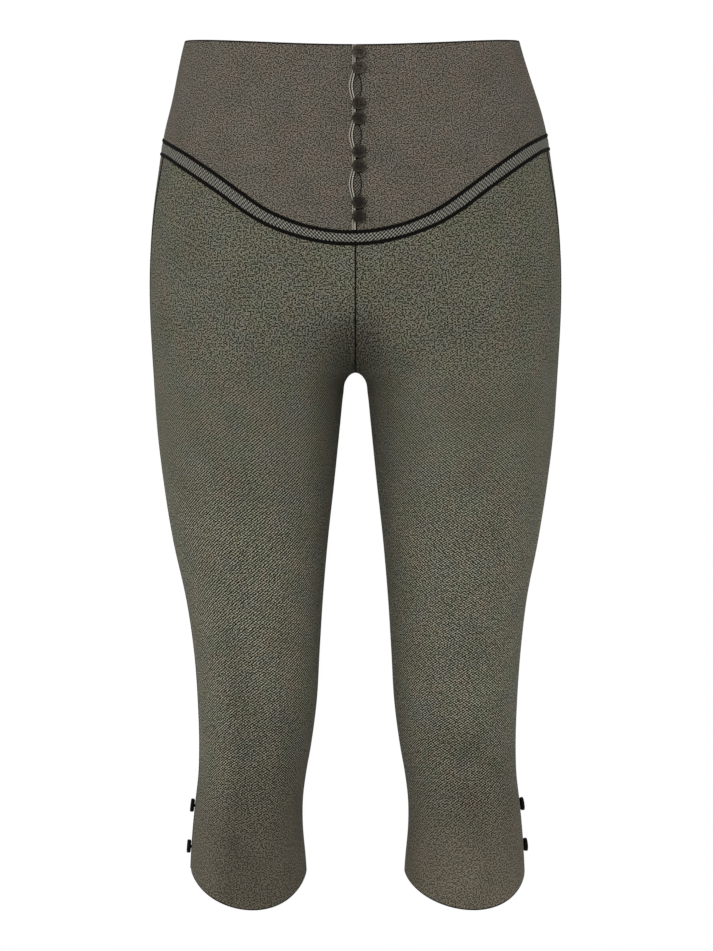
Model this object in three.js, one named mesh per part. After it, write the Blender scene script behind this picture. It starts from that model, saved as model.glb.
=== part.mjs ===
// Capri pants, filled out as worn and open at the waist and at both hems.
// Millimetres, +Z up. The front faces -Y and the wearer's left leg is on +X.
// The origin is the middle of the waist opening, level with its sides, where
// the wearer's waist holds the garment up.

import * as THREE from "three";

// ---- Cloth, seams and trim -------------------------------------------------
const CLOTH = 1.5; // thickness of a cloth wall
const SEAM_GAP = 0.3; // space left between neighbouring pieces
const BAND_PIPING = { width: 2.8, proud: 0.7 }; // the two cords of the hip band
const SIDE_PIPING = { width: 1.5, proud: 0.5 }; // the cord of a side seam

// ---- Levels ----------------------------------------------------------------
const WAIST_DIP = 15.8; // drop of the waist edge at centre front
const WAIST_DIP_POWER = 1.2;
const LEGS_LEVEL = -205; // where the leg panels' rows become level
const CROTCH = -282;
const HEM_START = -676; // lowest level row above the curved hems
const HEM_CORNER = { side: -705.5, inseam: -708 }; // the hem at its corners
const HEM_DROP = { front: 26, back: 20 }; // and how far it falls between them
const HEM_POWER = 1.6;
const HEM_TURN = { right: -3, left: 6 }; // degrees outward, low point of the hem

// ---- The general figure that the cloth is cut to ---------------------------
// One row for each level. "out" is the half width, "centre" and "inner" are
// the middle and the inner reach of one leg's section, "front" and "back" are
// its depths, and "power" is the roundness of its superellipse.
const FIGURE_COLUMNS = ["level", "out", "centre", "inner", "front", "back", "power"];
const FIGURE = [
  [0, 142.4, 0, -142.4, -92, 90, 2.35],
  [-40, 152.7, 0, -152.7, -97, 95, 2.33],
  [-80, 163.0, 0, -163.0, -102, 101, 2.3],
  [-112, 168.0, 0, -168.0, -105, 107, 2.28],
  [-143, 172.3, 0, -172.3, -107, 113, 2.25],
  [-175, 175.0, 0, -175.0, -107.5, 120, 2.22],
  [-200, 175.7, 9, -150.0, -107, 123, 2.2],
  [-220, 175.5, 27, -105.0, -106, 123.6, 2.18],
  [-240, 174.8, 50, -55.0, -104, 122, 2.16],
  [-255, 174.0, 67, -22.0, -102.5, 119.5, 2.14],
  [-268, 173.2, 79, -3.2, -101, 116.3, 2.12],
  [-275, 172.8, 84.2, 4.6, -100, 114.4, 2.11],
  [-282, 172.3, 88, 10.0, -99, 112.3, 2.1],
  [-289, 171.9, 90.5, 13.1, -98.2, 110.2, 2.1],
  [-300, 171.2, 92.2, 14.4, -96.8, 106.8, 2.1],
  [-323, 169.6, 93.0, 16.2, -94.5, 99.3, 2.1],
  [-374, 163.4, 92.0, 20.5, -90, 85, 2.1],
  [-425, 155.0, 90.3, 25.5, -86, 74, 2.1],
  [-476, 144.2, 87.3, 29.5, -82, 63, 2.1],
  [-519, 138.4, 85.6, 32.0, -79, 56, 2.1],
  [-562, 135.2, 85.2, 34.4, -76.5, 51, 2.1],
  [-600, 134.1, 86.8, 39.2, -73, 49, 2.1],
  [-622, 134.8, 89.2, 43.0, -70, 51, 2.1],
  [-647, 137.7, 91.8, 45.9, -67, 56, 2.1],
  [-664, 139.6, 92.9, 46.1, -64.5, 60, 2.1],
  [-700, 142.3, 92.9, 43.4, -60, 66, 2.1],
  [-742, 143.5, 92.4, 41.2, -56, 69, 2.1],
];
// The widths are blended over this radius where the two legs join, which
// rounds the crotch and keeps the sections smooth across the centre plane.
const LEG_BLEND = 10;
const JOINED_ABOVE = -176; // the two halves are one plain oval above this level
const WAIST_LEAN = { reach: 2.9, from: -65 }; // the waist's sides stand to the right
const CALF_WIDER = 1.9; // how much wider the left calf stands than the mean
const CALF_RANGE = [-400, -540];

// ---- The hip band ----------------------------------------------------------
// Levels of its two piping cords by share of the way round, where 0 is centre
// front, 1 the side and 2 centre back.
const BAND_COLUMNS = ["share", "upper", "lower"];
const BAND = [
  [0.0, -171.3, -180.9],
  [0.08, -170.0, -179.8],
  [0.16, -166.2, -176.1],
  [0.24, -159.7, -170.3],
  [0.32, -150.6, -162.3],
  [0.4, -138.5, -151.3],
  [0.5, -123.1, -135.6],
  [0.6, -109.5, -121.9],
  [0.7, -98.2, -110.2],
  [0.8, -90.2, -101.0],
  [0.9, -84.8, -96.0],
  [1.0, -81.2, -93.4],
  [1.5, -88.5, -101.0],
  [2.0, -105.0, -117.5],
];
const BAND_TURN = 0.015; // share by which the band's low point sits to the right
const BAND_TILT = 2.1; // how much the left side's cords stand above the mean, at the side
const TILT_SHARES = [0.35, 0.8]; // where that tilt sets in

// ---- Front closure ---------------------------------------------------------
const CLOSURE = 1.1; // where the yoke's two front edges meet, along the cloth
const FRONT_BUTTON_LEVELS = [-23.0, -36.4, -66.0, -78.2, -105.9, -117.6, -147.3, -158.9];
const FRONT_BUTTON_OFFSET = 2.9; // from centre front, along the cloth
const BOW_POWER = 1.6; // roundness of the gaps between the button pairs
const BOW_RIGHT_EDGE = 2.7; // how far each edge bows aside at mid gap
const BOW_LEFT_EDGE = 3.5;
const LOOP_CORDS = {
  inner: { offset: -0.2, bow: 2.6 },
  outer: { offset: -2.0, bow: 2.9 },
};
const LOOP_CORD_RADIUS = 0.55;
const UNDERLAP = { from: -8, to: 10, top: -19, thickness: 1.2 };

// ---- Buttons ---------------------------------------------------------------
// Half profile: radius and height above the cloth, from the thread shank's
// foot round the rim to the sunken middle.
const BUTTON_PROFILE = [
  [0, 0.3],
  [1.4, 0.3],
  [1.4, 1.9],
  [5.1, 1.9],
  [5.75, 2.6],
  [5.5, 3.9],
  [4.8, 4.3],
  [3.9, 3.6],
  [0, 3.6],
];
const BUTTON_SIDES = 14;
const CUFF_BUTTON_LEVELS = { upper: -651, lower: -686.5 };
const CUFF_BUTTON_OFFSET = 3.2; // behind the side seam, along the cloth
const CUFF_TURN = 0.03; // share by which the cuffs' side seams lean to the left

// ---- Grids -----------------------------------------------------------------
const FRONT_STATIONS = 10; // columns of a front leg panel
const SIDE_STATIONS = 2; // columns between a side seam's top and the side
const BACK_STATIONS = 9; // columns from the side to centre back
const SIDE_SEAM = { top: 0.86, legs: 0.935, settled: -330 }; // shares, and a level
const CROTCH_GATHER = 4; // how closely the columns keep to the side above the crotch
const TOP_ROWS = 6; // rows from the band to the first level row
const HEM_ROWS = 4; // rows from the last level row to the hem
const LEVEL_ROWS = [
  -220, -235, -248, -259, -268, -274.5, -278.8, -281.2, -282, -283.2, -286, -291, -299, -312,
  -332, -358, -390, -422, -454, -486, -518, -550, -580, -610, -634, -656,
];
const YOKE_BACK_ROWS = 7;
const YOKE_GAP_ROWS = 5; // rows of the front yoke along each gap
const BAND_DEPTHS = [0, 0.5, 1]; // rows of the band's cloth, by share of its depth
const UNDERLAP_ROWS = 12;
const LOOP_STEPS = 44;
const LOOP_SIDES = 6;
const END_CROWDING = 0.35; // how much a panel's columns crowd towards its edges
const ARC_STEPS = 160; // chords used to measure along a section
const LINE_STEPS = 12; // rounds that settle a point onto a drawn line
const NORMAL_STEP = 0.05; // half the span over which a normal is taken
const SLOPE_STEP = 0.004; // the same for a band line's slope, in shares
const RIGHT = -1; // the wearer's sides, as the sign of X
const LEFT = 1;

// ---- Tables and curves -----------------------------------------------------

// A smooth curve through one column of a table, against its first column. A
// line that crosses the centre front and back has level ends.
function curveThrough(table, columns, name, levelEnds = false) {
  const index = columns.indexOf(name);
  const rows = [...table].sort((a, b) => a[0] - b[0]);
  const at = rows.map((row) => row[0]);
  const value = rows.map((row) => row[index]);
  const last = rows.length - 1;
  const rise = (i) => (value[i + 1] - value[i]) / (at[i + 1] - at[i]);
  const slope = rows.map((row, i) => {
    if (i === 0) return levelEnds ? 0 : rise(0);
    if (i === last) return levelEnds ? 0 : rise(last - 1);
    const before = at[i] - at[i - 1];
    const after = at[i + 1] - at[i];
    return (after * rise(i - 1) + before * rise(i)) / (before + after);
  });
  return (x) => {
    const place = Math.min(Math.max(x, at[0]), at[last]);
    let i = 0;
    while (i < last - 1 && place > at[i + 1]) i += 1;
    const span = at[i + 1] - at[i];
    const t = (place - at[i]) / span;
    const tt = t * t;
    const ttt = tt * t;
    return (
      (2 * ttt - 3 * tt + 1) * value[i] +
      (ttt - 2 * tt + t) * span * slope[i] +
      (3 * tt - 2 * ttt) * value[i + 1] +
      (ttt - tt) * span * slope[i + 1]
    );
  };
}

function smoothStep(from, to, x) {
  const t = Math.min(Math.max((x - from) / (to - from), 0), 1);
  return t * t * (3 - 2 * t);
}

const figure = Object.fromEntries(
  FIGURE_COLUMNS.slice(1).map((name) => [name, curveThrough(FIGURE, FIGURE_COLUMNS, name)]),
);
const bandLine = {
  upper: curveThrough(BAND, BAND_COLUMNS, "upper", true),
  lower: curveThrough(BAND, BAND_COLUMNS, "lower", true),
};

// ---- Sections of the figure ------------------------------------------------

// The half section of one side at a level: a superellipse in blended widths.
function section(level, side) {
  const calf = CALF_WIDER * side * smoothStep(CALF_RANGE[0], CALF_RANGE[1], level);
  const out = Math.hypot(figure.out(level) + calf, LEG_BLEND);
  const centre = figure.centre(level);
  const inner = level > JOINED_ABOVE ? -out : figure.inner(level);
  return {
    centre,
    outReach: out - centre,
    inReach: centre - inner,
    middle: (figure.front(level) + figure.back(level)) / 2,
    depth: (figure.back(level) - figure.front(level)) / 2,
    power: figure.power(level),
  };
}

// A point of a half section by angle: 0 is its inner end, a quarter turn the
// front and a half turn the side.
function sectionPoint(cut, angle) {
  const cos = Math.cos(angle);
  const sin = Math.sin(angle);
  const bend = 2 / cut.power;
  const reach = cos > 0 ? cut.inReach : cut.outReach;
  const wide = cut.centre - reach * Math.sign(cos) * Math.abs(cos) ** bend;
  const x = Math.sqrt(Math.max(wide * wide - LEG_BLEND * LEG_BLEND, 0));
  const y = cut.middle - cut.depth * Math.sign(sin) * Math.abs(sin) ** bend;
  return [x, y];
}

// The angle at which a half section leaves the centre plane.
function startAngle(cut) {
  const inward = cut.centre - LEG_BLEND;
  if (inward >= 0) return Math.acos(Math.min(1, inward / cut.inReach) ** (cut.power / 2));
  return Math.acos(-((-inward / cut.outReach) ** (cut.power / 2)));
}

// Lengths along a half section from its front end, kept for each level.
const measured = new Map();
function measure(level, side) {
  const key = side * (1000 - level);
  if (measured.has(key)) return measured.get(key);
  const cut = section(level, side);
  const start = startAngle(cut);
  const angles = [];
  const lengths = [];
  let before = null;
  for (let i = 0; i <= ARC_STEPS; i += 1) {
    const along = (1 - Math.cos((Math.PI * i) / ARC_STEPS)) / 2;
    const angle = start + 2 * (Math.PI - start) * along;
    const point = sectionPoint(cut, angle);
    const step = before ? Math.hypot(point[0] - before[0], point[1] - before[1]) : 0;
    lengths.push((lengths[i - 1] ?? 0) + step);
    angles.push(angle);
    before = point;
  }
  const whole = lengths[ARC_STEPS];
  const toSide = lengths[ARC_STEPS / 2];
  const result = { cut, angles, lengths, whole, toSide };
  measured.set(key, result);
  return result;
}

// The cloth's outer face at a length along the section of a level. A negative
// length lies across the centre plane, on the other side.
function clothPoint(level, side, along) {
  const { cut, angles, lengths } = measure(level, side);
  const length = Math.abs(along);
  let i = 0;
  while (i < ARC_STEPS - 1 && lengths[i + 1] < length) i += 1;
  const part = (length - lengths[i]) / (lengths[i + 1] - lengths[i]);
  const [x, y] = sectionPoint(cut, angles[i] + part * (angles[i + 1] - angles[i]));
  return new THREE.Vector3(x * side * (along < 0 ? -1 : 1), y, level);
}

// How far outside the figure a point lies, which gives the cloth's normal.
function outside(x, y, level, side) {
  const cut = section(level, side);
  const wide = Math.hypot(x, LEG_BLEND) - cut.centre;
  const reach = wide > 0 ? cut.outReach : cut.inReach;
  const across = Math.abs(wide / reach) ** cut.power;
  return across + Math.abs((y - cut.middle) / cut.depth) ** cut.power;
}

function clothNormal(point) {
  const side = point.x < 0 ? RIGHT : LEFT;
  const h = NORMAL_STEP;
  const { x, y, z } = point;
  const slope = (dx, dy, dz) =>
    outside(x + dx, y + dy, z + dz, side) - outside(x - dx, y - dy, z - dz, side);
  return new THREE.Vector3(slope(h, 0, 0), slope(0, h, 0), slope(0, 0, h)).normalize();
}

// A place on the cloth: its point, and the direction out of the cloth there.
function onCloth(level, side, along) {
  const point = clothPoint(level, side, along);
  const normal = clothNormal(point);
  const lean = WAIST_LEAN.reach * smoothStep(WAIST_LEAN.from, 0, level);
  point.x -= lean * (point.x / figure.out(0)) ** 2;
  return { point, normal };
}

function lifted(place, height) {
  return place.point.clone().addScaledVector(place.normal, height);
}

// ---- Lines drawn on the cloth ----------------------------------------------

// The length along a section of a share of the way round.
function shareLength(level, side, share) {
  const { whole, toSide } = measure(level, side);
  if (share <= 1) return share * toSide;
  return toSide + (share - 1) * (whole - toSide);
}

function lengthShare(level, side, along) {
  const { whole, toSide } = measure(level, side);
  if (along <= toSide) return along / toSide;
  return 1 + (along - toSide) / (whole - toSide);
}

function waistLevel(share) {
  if (share >= 1) return 0;
  return -WAIST_DIP * Math.cos((share * Math.PI) / 2) ** WAIST_DIP_POWER;
}

// The level of a band cord, moved down or up the cloth by an offset.
function bandLevel(line, share, side, offset = 0) {
  const turned = (s) => {
    const signed = s + side * BAND_TURN * (1 - Math.min(Math.abs(s), 1) ** 4);
    const tilt = smoothStep(...TILT_SHARES, Math.abs(s)) * (1 - smoothStep(1, 2, Math.abs(s)));
    return bandLine[line](Math.abs(signed)) + side * BAND_TILT * tilt;
  };
  const level = turned(share);
  const run = 2 * SLOPE_STEP * measure(level, side).toSide;
  const slope = (turned(share + SLOPE_STEP) - turned(share - SLOPE_STEP)) / run;
  return level + offset * Math.hypot(1, slope);
}

// The place on a line at a length along the cloth, found by stepping to it.
function onLine(levelAt, side, lengthAt) {
  let level = levelAt(0.5);
  for (let i = 0; i < LINE_STEPS; i += 1) {
    const share = lengthShare(level, side, Math.abs(lengthAt(level)));
    level = levelAt(share);
  }
  return level;
}

// ---- Solids ----------------------------------------------------------------

function closedGeometry(points, triangles) {
  const geometry = new THREE.BufferGeometry();
  const positions = points.flatMap((point) => [point.x, point.y, point.z]);
  geometry.setAttribute("position", new THREE.Float32BufferAttribute(positions, 3));
  const corner = new THREE.Vector3();
  const volume = triangles.reduce((sum, [a, b, c]) => {
    corner.crossVectors(points[b], points[c]);
    return sum + points[a].dot(corner);
  }, 0);
  const facing = volume < 0 ? triangles.map(([a, b, c]) => [a, c, b]) : triangles;
  geometry.setIndex(facing.flat());
  geometry.computeVertexNormals();
  return geometry;
}

// A cloth wall over a grid of places: outer face, inner face and four edges.
function clothWall(grid, outer = 0, inner = -CLOTH) {
  const rows = grid.length;
  const columns = grid[0].length;
  const points = [
    ...grid.flat().map((place) => lifted(place, outer)),
    ...grid.flat().map((place) => lifted(place, inner)),
  ];
  const at = (r, c, face) => face * rows * columns + r * columns + c;
  const triangles = [];
  const quad = (a, b, c, d) => triangles.push([a, b, c], [a, c, d]);
  for (let r = 0; r < rows - 1; r += 1) {
    for (let c = 0; c < columns - 1; c += 1) {
      quad(at(r, c, 0), at(r + 1, c, 0), at(r + 1, c + 1, 0), at(r, c + 1, 0));
      quad(at(r, c, 1), at(r, c + 1, 1), at(r + 1, c + 1, 1), at(r + 1, c, 1));
    }
    quad(at(r, 0, 0), at(r, 0, 1), at(r + 1, 0, 1), at(r + 1, 0, 0));
    const end = columns - 1;
    quad(at(r, end, 0), at(r + 1, end, 0), at(r + 1, end, 1), at(r, end, 1));
  }
  for (let c = 0; c < columns - 1; c += 1) {
    quad(at(0, c, 0), at(0, c + 1, 0), at(0, c + 1, 1), at(0, c, 1));
    const end = rows - 1;
    quad(at(end, c, 0), at(end, c, 1), at(end, c + 1, 1), at(end, c + 1, 0));
  }
  return closedGeometry(points, triangles);
}

// A cord laid along places of the cloth. The profile's points are [across,
// out], and a ring joins its last place to its first.
function cord(places, profile, ring) {
  const count = places.length;
  const sides = profile.length;
  const points = places.flatMap((place, i) => {
    const next = places[ring ? (i + 1) % count : Math.min(i + 1, count - 1)];
    const last = places[ring ? (i + count - 1) % count : Math.max(i - 1, 0)];
    const along = next.point.clone().sub(last.point);
    const across = along.cross(place.normal).normalize();
    return profile.map(([aside, out]) => lifted(place, out).addScaledVector(across, aside));
  });
  const triangles = [];
  const steps = ring ? count : count - 1;
  for (let i = 0; i < steps; i += 1) {
    for (let k = 0; k < sides; k += 1) {
      const a = i * sides + k;
      const b = i * sides + ((k + 1) % sides);
      const c = ((i + 1) % count) * sides + ((k + 1) % sides);
      const d = ((i + 1) % count) * sides + k;
      triangles.push([a, b, c], [a, c, d]);
    }
  }
  if (!ring) {
    const end = (count - 1) * sides;
    for (let k = 1; k < sides - 1; k += 1) {
      triangles.push([0, k + 1, k], [end, end + k, end + k + 1]);
    }
  }
  return closedGeometry(points, triangles);
}

// The section of a cord sewn into a seam: level inside, rounded outside.
function seamProfile({ width, proud }) {
  const half = width / 2;
  return [
    [-half, -CLOTH],
    [half, -CLOTH],
    [half, 0],
    [half * 0.5, proud],
    [-half * 0.5, proud],
    [-half, 0],
  ];
}

function roundProfile(radius, height, sides) {
  return Array.from({ length: sides }, (unused, k) => {
    const angle = (2 * Math.PI * k) / sides;
    return [radius * Math.cos(angle), height + radius * Math.sin(angle)];
  });
}

// ---- Grids of places -------------------------------------------------------

// Evenly spaced shares, drawn in a little towards both ends.
function stations(from, to, count) {
  return Array.from({ length: count + 1 }, (unused, i) => {
    const turn = (2 * Math.PI * i) / count;
    return from + ((to - from) * (turn - END_CROWDING * Math.sin(turn))) / (2 * Math.PI);
  });
}

const FRONT_SHARES = stations(0, SIDE_SEAM.top, FRONT_STATIONS);
const SIDE_SHARES = stations(SIDE_SEAM.top, 1, SIDE_STATIONS);
const BACK_SHARES = stations(1, 2, BACK_STATIONS);
const HALF_SHARES = [...FRONT_SHARES, ...SIDE_SHARES.slice(1), ...BACK_SHARES.slice(1)];

// The rows of the leg panels, from the band (0) past the level rows (1 and
// on) to the hem, with the side seam's share of the way round in each row.
const LEG_ROWS = [
  ...Array.from({ length: TOP_ROWS }, (unused, i) => ({ fall: i / TOP_ROWS })),
  ...[LEGS_LEVEL, ...LEVEL_ROWS, HEM_START].map((level) => ({ level })),
  ...Array.from({ length: HEM_ROWS }, (unused, i) => ({ hem: (i + 1) / HEM_ROWS })),
];

function seamShare(row, side) {
  const { top, legs, settled } = SIDE_SEAM;
  if (row.fall !== undefined) return top + (legs - top) * row.fall;
  const level = row.level ?? HEM_CORNER.side;
  const above = Math.max(level - settled, 0) / (LEGS_LEVEL - settled);
  const cuff = CUFF_TURN * smoothStep(CALF_RANGE[0], CALF_RANGE[1], level);
  return 1 - (1 - legs) * above ** 1.5 + side * cuff;
}

const hemTurn = (side) => ((side === LEFT ? HEM_TURN.left : HEM_TURN.right) * Math.PI) / 180;

// The width of a leg panel at a level, from its side seam to its centre seam
// or inseam.
function panelWidth(face, level, side, seam) {
  const toSeam = shareLength(level, side, seam);
  return face === "front" ? toSeam : measure(level, side).whole - toSeam;
}

// The distance from the side seam of a panel's column. Just above the crotch
// the panel widens quickly, and there only its columns near the centre follow.
function fromSideSeam(face, row, level, side, part) {
  const width = panelWidth(face, level, side, seamShare(row, side));
  const inward = 1 - part;
  if (row.level === undefined || level <= CROTCH) return width * inward;
  const widthOf = (z) => panelWidth(face, z, side, seamShare({ level: z }, side));
  const fall = (LEGS_LEVEL - level) / (LEGS_LEVEL - CROTCH);
  const even = widthOf(LEGS_LEVEL) + (widthOf(CROTCH) - widthOf(LEGS_LEVEL)) * fall;
  return even * inward + (width - even) * inward ** CROTCH_GATHER;
}

// One place of a leg panel: "part" runs from the panel's centre or inseam
// edge (0) to its side seam (1).
function legPlace(face, row, part, side, edge) {
  const half = SEAM_GAP / 2;
  const lengthAt = (level) => {
    const toSeam = shareLength(level, side, seamShare(row, side));
    const width = panelWidth(face, level, side, seamShare(row, side));
    const aside = fromSideSeam(face, row, level, side, part);
    const inside = edge + (aside * (width - edge - half)) / width;
    return face === "front" ? toSeam - inside : toSeam + inside;
  };
  let level = row.level;
  if (row.fall !== undefined) {
    const clear = -BAND_PIPING.width / 2 - SEAM_GAP;
    const top = (share) => bandLevel("lower", share, side, clear);
    const fallen = (share) => top(share) + (LEGS_LEVEL - top(share)) * row.fall;
    level = onLine(fallen, side, lengthAt);
  }
  if (row.hem !== undefined) {
    const turn = (part - 0.5) * Math.PI;
    const round = Math.max(Math.cos(turn - hemTurn(side) * Math.cos(turn)), 0) ** HEM_POWER;
    const corner = HEM_CORNER.inseam + (HEM_CORNER.side - HEM_CORNER.inseam) * part;
    level = HEM_START + (corner - HEM_DROP[face] * round - HEM_START) * row.hem;
  }
  const place = onCloth(level, side, lengthAt(level));
  place.point.x = side * Math.max(Math.abs(place.point.x), half);
  return place;
}

function legPanel(face, side) {
  const shares = face === "front" ? FRONT_SHARES : [...BACK_SHARES].reverse();
  const parts =
    face === "front"
      ? shares.map((share) => share / SIDE_SEAM.top)
      : [...shares, ...[...SIDE_SHARES].reverse().slice(1)].map(
          (share) => (2 - share) / (2 - SIDE_SEAM.top),
        );
  const edge = SIDE_PIPING.width / 2 + SEAM_GAP;
  return clothWall(LEG_ROWS.map((row) => parts.map((part) => legPlace(face, row, part, side, edge))));
}

function sidePiping(side) {
  const places = LEG_ROWS.map((row) => legPlace("front", row, 1, side, 0));
  return cord(places, seamProfile(SIDE_PIPING), false);
}

// The half gap that one of the closure's edges bows aside, 0 to 1, at a level.
function bow(level) {
  for (let pair = 1; pair < FRONT_BUTTON_LEVELS.length - 1; pair += 2) {
    const top = FRONT_BUTTON_LEVELS[pair];
    const bottom = FRONT_BUTTON_LEVELS[pair + 1];
    if (level < top && level > bottom) {
      return Math.sin((Math.PI * (top - level)) / (top - bottom)) ** BOW_POWER;
    }
  }
  return 0;
}

// Shares of the yoke's depth for its rows: even between buttons, with more
// rows along the gaps.
function yokeRows() {
  const top = waistLevel(0);
  const bottom = bandLine.upper(0);
  const levels = [top];
  FRONT_BUTTON_LEVELS.forEach((level, i) => {
    const steps = i % 2 === 0 && i > 0 ? YOKE_GAP_ROWS : 1;
    const from = levels[levels.length - 1];
    for (let k = 1; k <= steps; k += 1) levels.push(from + ((level - from) * k) / steps);
  });
  levels.push(bottom);
  return levels.map((level) => (level - top) / (bottom - top));
}

// One place of the yoke, by its row's share of the depth.
function yokePlace(depth, side, lengthAt) {
  const clear = BAND_PIPING.width / 2 + SEAM_GAP;
  const levelAt = (share) => {
    const top = waistLevel(share);
    return top + (bandLevel("upper", share, side, clear) - top) * depth;
  };
  const level = onLine(levelAt, side, lengthAt);
  return onCloth(level, side, lengthAt(level));
}

function yokeFront(side) {
  const parts = [...FRONT_SHARES, ...SIDE_SHARES.slice(1)];
  const edgeAt = (level) =>
    side === RIGHT
      ? SEAM_GAP / 2 - CLOSURE + BOW_RIGHT_EDGE * bow(level)
      : CLOSURE + SEAM_GAP / 2 + BOW_LEFT_EDGE * bow(level);
  return clothWall(
    yokeRows().map((depth) =>
      parts.map((part) =>
        yokePlace(depth, side, (level) => {
          const edge = edgeAt(level);
          return edge + part * (measure(level, side).toSide - SEAM_GAP / 2 - edge);
        }),
      ),
    ),
  );
}

// Columns right round the back, from the right side to the left side.
function aroundBack(placeAt) {
  const right = BACK_SHARES.map((share) => placeAt(RIGHT, share));
  const left = [...BACK_SHARES].reverse().map((share) => placeAt(LEFT, share));
  return [...right, ...left.slice(1)];
}

function backLength(level, side, share) {
  const start = measure(level, side).toSide + SEAM_GAP / 2;
  return start + (share - 1) * (measure(level, side).whole - start);
}

function yokeBack() {
  const depths = Array.from({ length: YOKE_BACK_ROWS + 1 }, (unused, i) => i / YOKE_BACK_ROWS);
  return clothWall(
    depths.map((depth) =>
      aroundBack((side, share) =>
        yokePlace(depth, side, (level) => backLength(level, side, share)),
      ),
    ),
  );
}

// One place of the band's cloth, between its cords (depth 0 and 1).
function bandPlace(depth, side, lengthAt) {
  const clear = BAND_PIPING.width / 2 + SEAM_GAP;
  const levelAt = (share) => {
    const top = bandLevel("upper", share, side, -clear);
    return top + (bandLevel("lower", share, side, clear) - top) * depth;
  };
  const level = onLine(levelAt, side, lengthAt);
  return onCloth(level, side, lengthAt(level));
}

function bandFront() {
  const shares = [...FRONT_SHARES, ...SIDE_SHARES.slice(1)];
  const along = (level, side, share) => share * (measure(level, side).toSide - SEAM_GAP / 2);
  const row = (depth) => {
    const place = (side) => (share) => bandPlace(depth, side, (z) => along(z, side, share));
    return [...[...shares].reverse().map(place(RIGHT)), ...shares.slice(1).map(place(LEFT))];
  };
  return clothWall(BAND_DEPTHS.map(row));
}

function bandBack() {
  const row = (depth) =>
    aroundBack((side, share) => bandPlace(depth, side, (z) => backLength(z, side, share)));
  return clothWall(BAND_DEPTHS.map(row));
}

// A cord that runs right round the hips along one of the band's lines.
function bandPiping(line) {
  const place = (side) => (share) => {
    const level = bandLevel(line, share, side);
    return onCloth(level, side, shareLength(level, side, share));
  };
  const left = HALF_SHARES.slice(0, -1).map(place(LEFT));
  const right = [...HALF_SHARES].reverse().slice(0, -1).map(place(RIGHT));
  return cord([...left, ...right], seamProfile(BAND_PIPING), true);
}

// ---- Closure pieces --------------------------------------------------------

function closureLevels(top, bottom, steps) {
  return Array.from({ length: steps + 1 }, (unused, i) => top + ((bottom - top) * i) / steps);
}

// The strip behind the two front edges, which shows through the gaps.
function underlap() {
  const bottom = bandLine.upper(0) + BAND_PIPING.width / 2 + SEAM_GAP;
  const lengths = [UNDERLAP.from, (UNDERLAP.from + UNDERLAP.to) / 2, UNDERLAP.to];
  const outer = -CLOTH - SEAM_GAP;
  const grid = closureLevels(UNDERLAP.top, bottom, UNDERLAP_ROWS).map((level) =>
    lengths.map((along) => onCloth(level, LEFT, along)),
  );
  return clothWall(grid, outer, outer - UNDERLAP.thickness);
}

// One of the two fine cords that edge the closure and loop round the buttons.
function loopCord({ offset, bow: reach }) {
  const top = waistLevel(0) - LOOP_CORD_RADIUS;
  const bottom = bandLine.upper(0) + BAND_PIPING.width / 2 + 2 * SEAM_GAP;
  const places = closureLevels(top, bottom, LOOP_STEPS).map((level) =>
    onCloth(level, LEFT, offset - reach * bow(level)),
  );
  const height = SEAM_GAP + LOOP_CORD_RADIUS;
  return cord(places, roundProfile(LOOP_CORD_RADIUS, height, LOOP_SIDES), false);
}

// A button on its thread shank, turned to stand square on the cloth.
function button(place) {
  const profile = BUTTON_PROFILE.map(([radius, height]) => new THREE.Vector2(radius, height));
  const geometry = new THREE.LatheGeometry(profile, BUTTON_SIDES);
  const mesh = new THREE.Mesh(geometry);
  mesh.position.copy(place.point);
  mesh.quaternion.setFromUnitVectors(new THREE.Vector3(0, 1, 0), place.normal);
  return mesh;
}

function cuffButton(side, level) {
  const seam = shareLength(level, side, seamShare({ level }, side));
  return button(onCloth(level, side, seam + CUFF_BUTTON_OFFSET));
}

// ---- Materials -------------------------------------------------------------

const FINISHES = {
  yoke_cloth: { color: "#605a51", roughness: 0.85 },
  leg_cloth: { color: "#5c5b50", roughness: 0.85 },
  band_cloth: { color: "#5f5e55", roughness: 0.85 },
  piping: { color: "#0e0d0a", roughness: 0.7 },
  loop: { color: "#79756a", roughness: 0.7 },
  button: { color: "#28241e", roughness: 0.4 },
};

function finish(name) {
  const { color, roughness } = FINISHES[name];
  return new THREE.MeshStandardMaterial({ color, roughness, metalness: 0 });
}

// ---- The garment -----------------------------------------------------------

const capriPants = new THREE.Group();

function add(name, shape, material) {
  const mesh = shape.isMesh ? shape : new THREE.Mesh(shape);
  mesh.name = name;
  mesh.material = finish(material);
  capriPants.add(mesh);
}

add("yoke_front_right", yokeFront(RIGHT), "yoke_cloth");
add("yoke_front_left", yokeFront(LEFT), "yoke_cloth");
add("yoke_back", yokeBack(), "yoke_cloth");
add("band_front", bandFront(), "band_cloth");
add("band_back", bandBack(), "band_cloth");
add("piping_upper", bandPiping("upper"), "piping");
add("piping_lower", bandPiping("lower"), "piping");
for (const [word, side] of [["right", RIGHT], ["left", LEFT]]) {
  add("leg_front_" + word, legPanel("front", side), "leg_cloth");
  add("leg_back_" + word, legPanel("back", side), "leg_cloth");
  add("piping_side_" + word, sidePiping(side), "piping");
  for (const [place, level] of Object.entries(CUFF_BUTTON_LEVELS)) {
    add("cuff_button_" + word + "_" + place, cuffButton(side, level), "button");
  }
}
add("placket_underlap", underlap(), "yoke_cloth");
add("loop_cord_inner", loopCord(LOOP_CORDS.inner), "loop");
add("loop_cord_outer", loopCord(LOOP_CORDS.outer), "loop");
FRONT_BUTTON_LEVELS.forEach((level, i) => {
  add("front_button_" + (i + 1), button(onCloth(level, LEFT, FRONT_BUTTON_OFFSET)), "button");
});

export default capriPants;
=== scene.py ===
import math

import bmesh
import bpy
import numpy as np
from mathutils import Matrix, Vector


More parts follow.
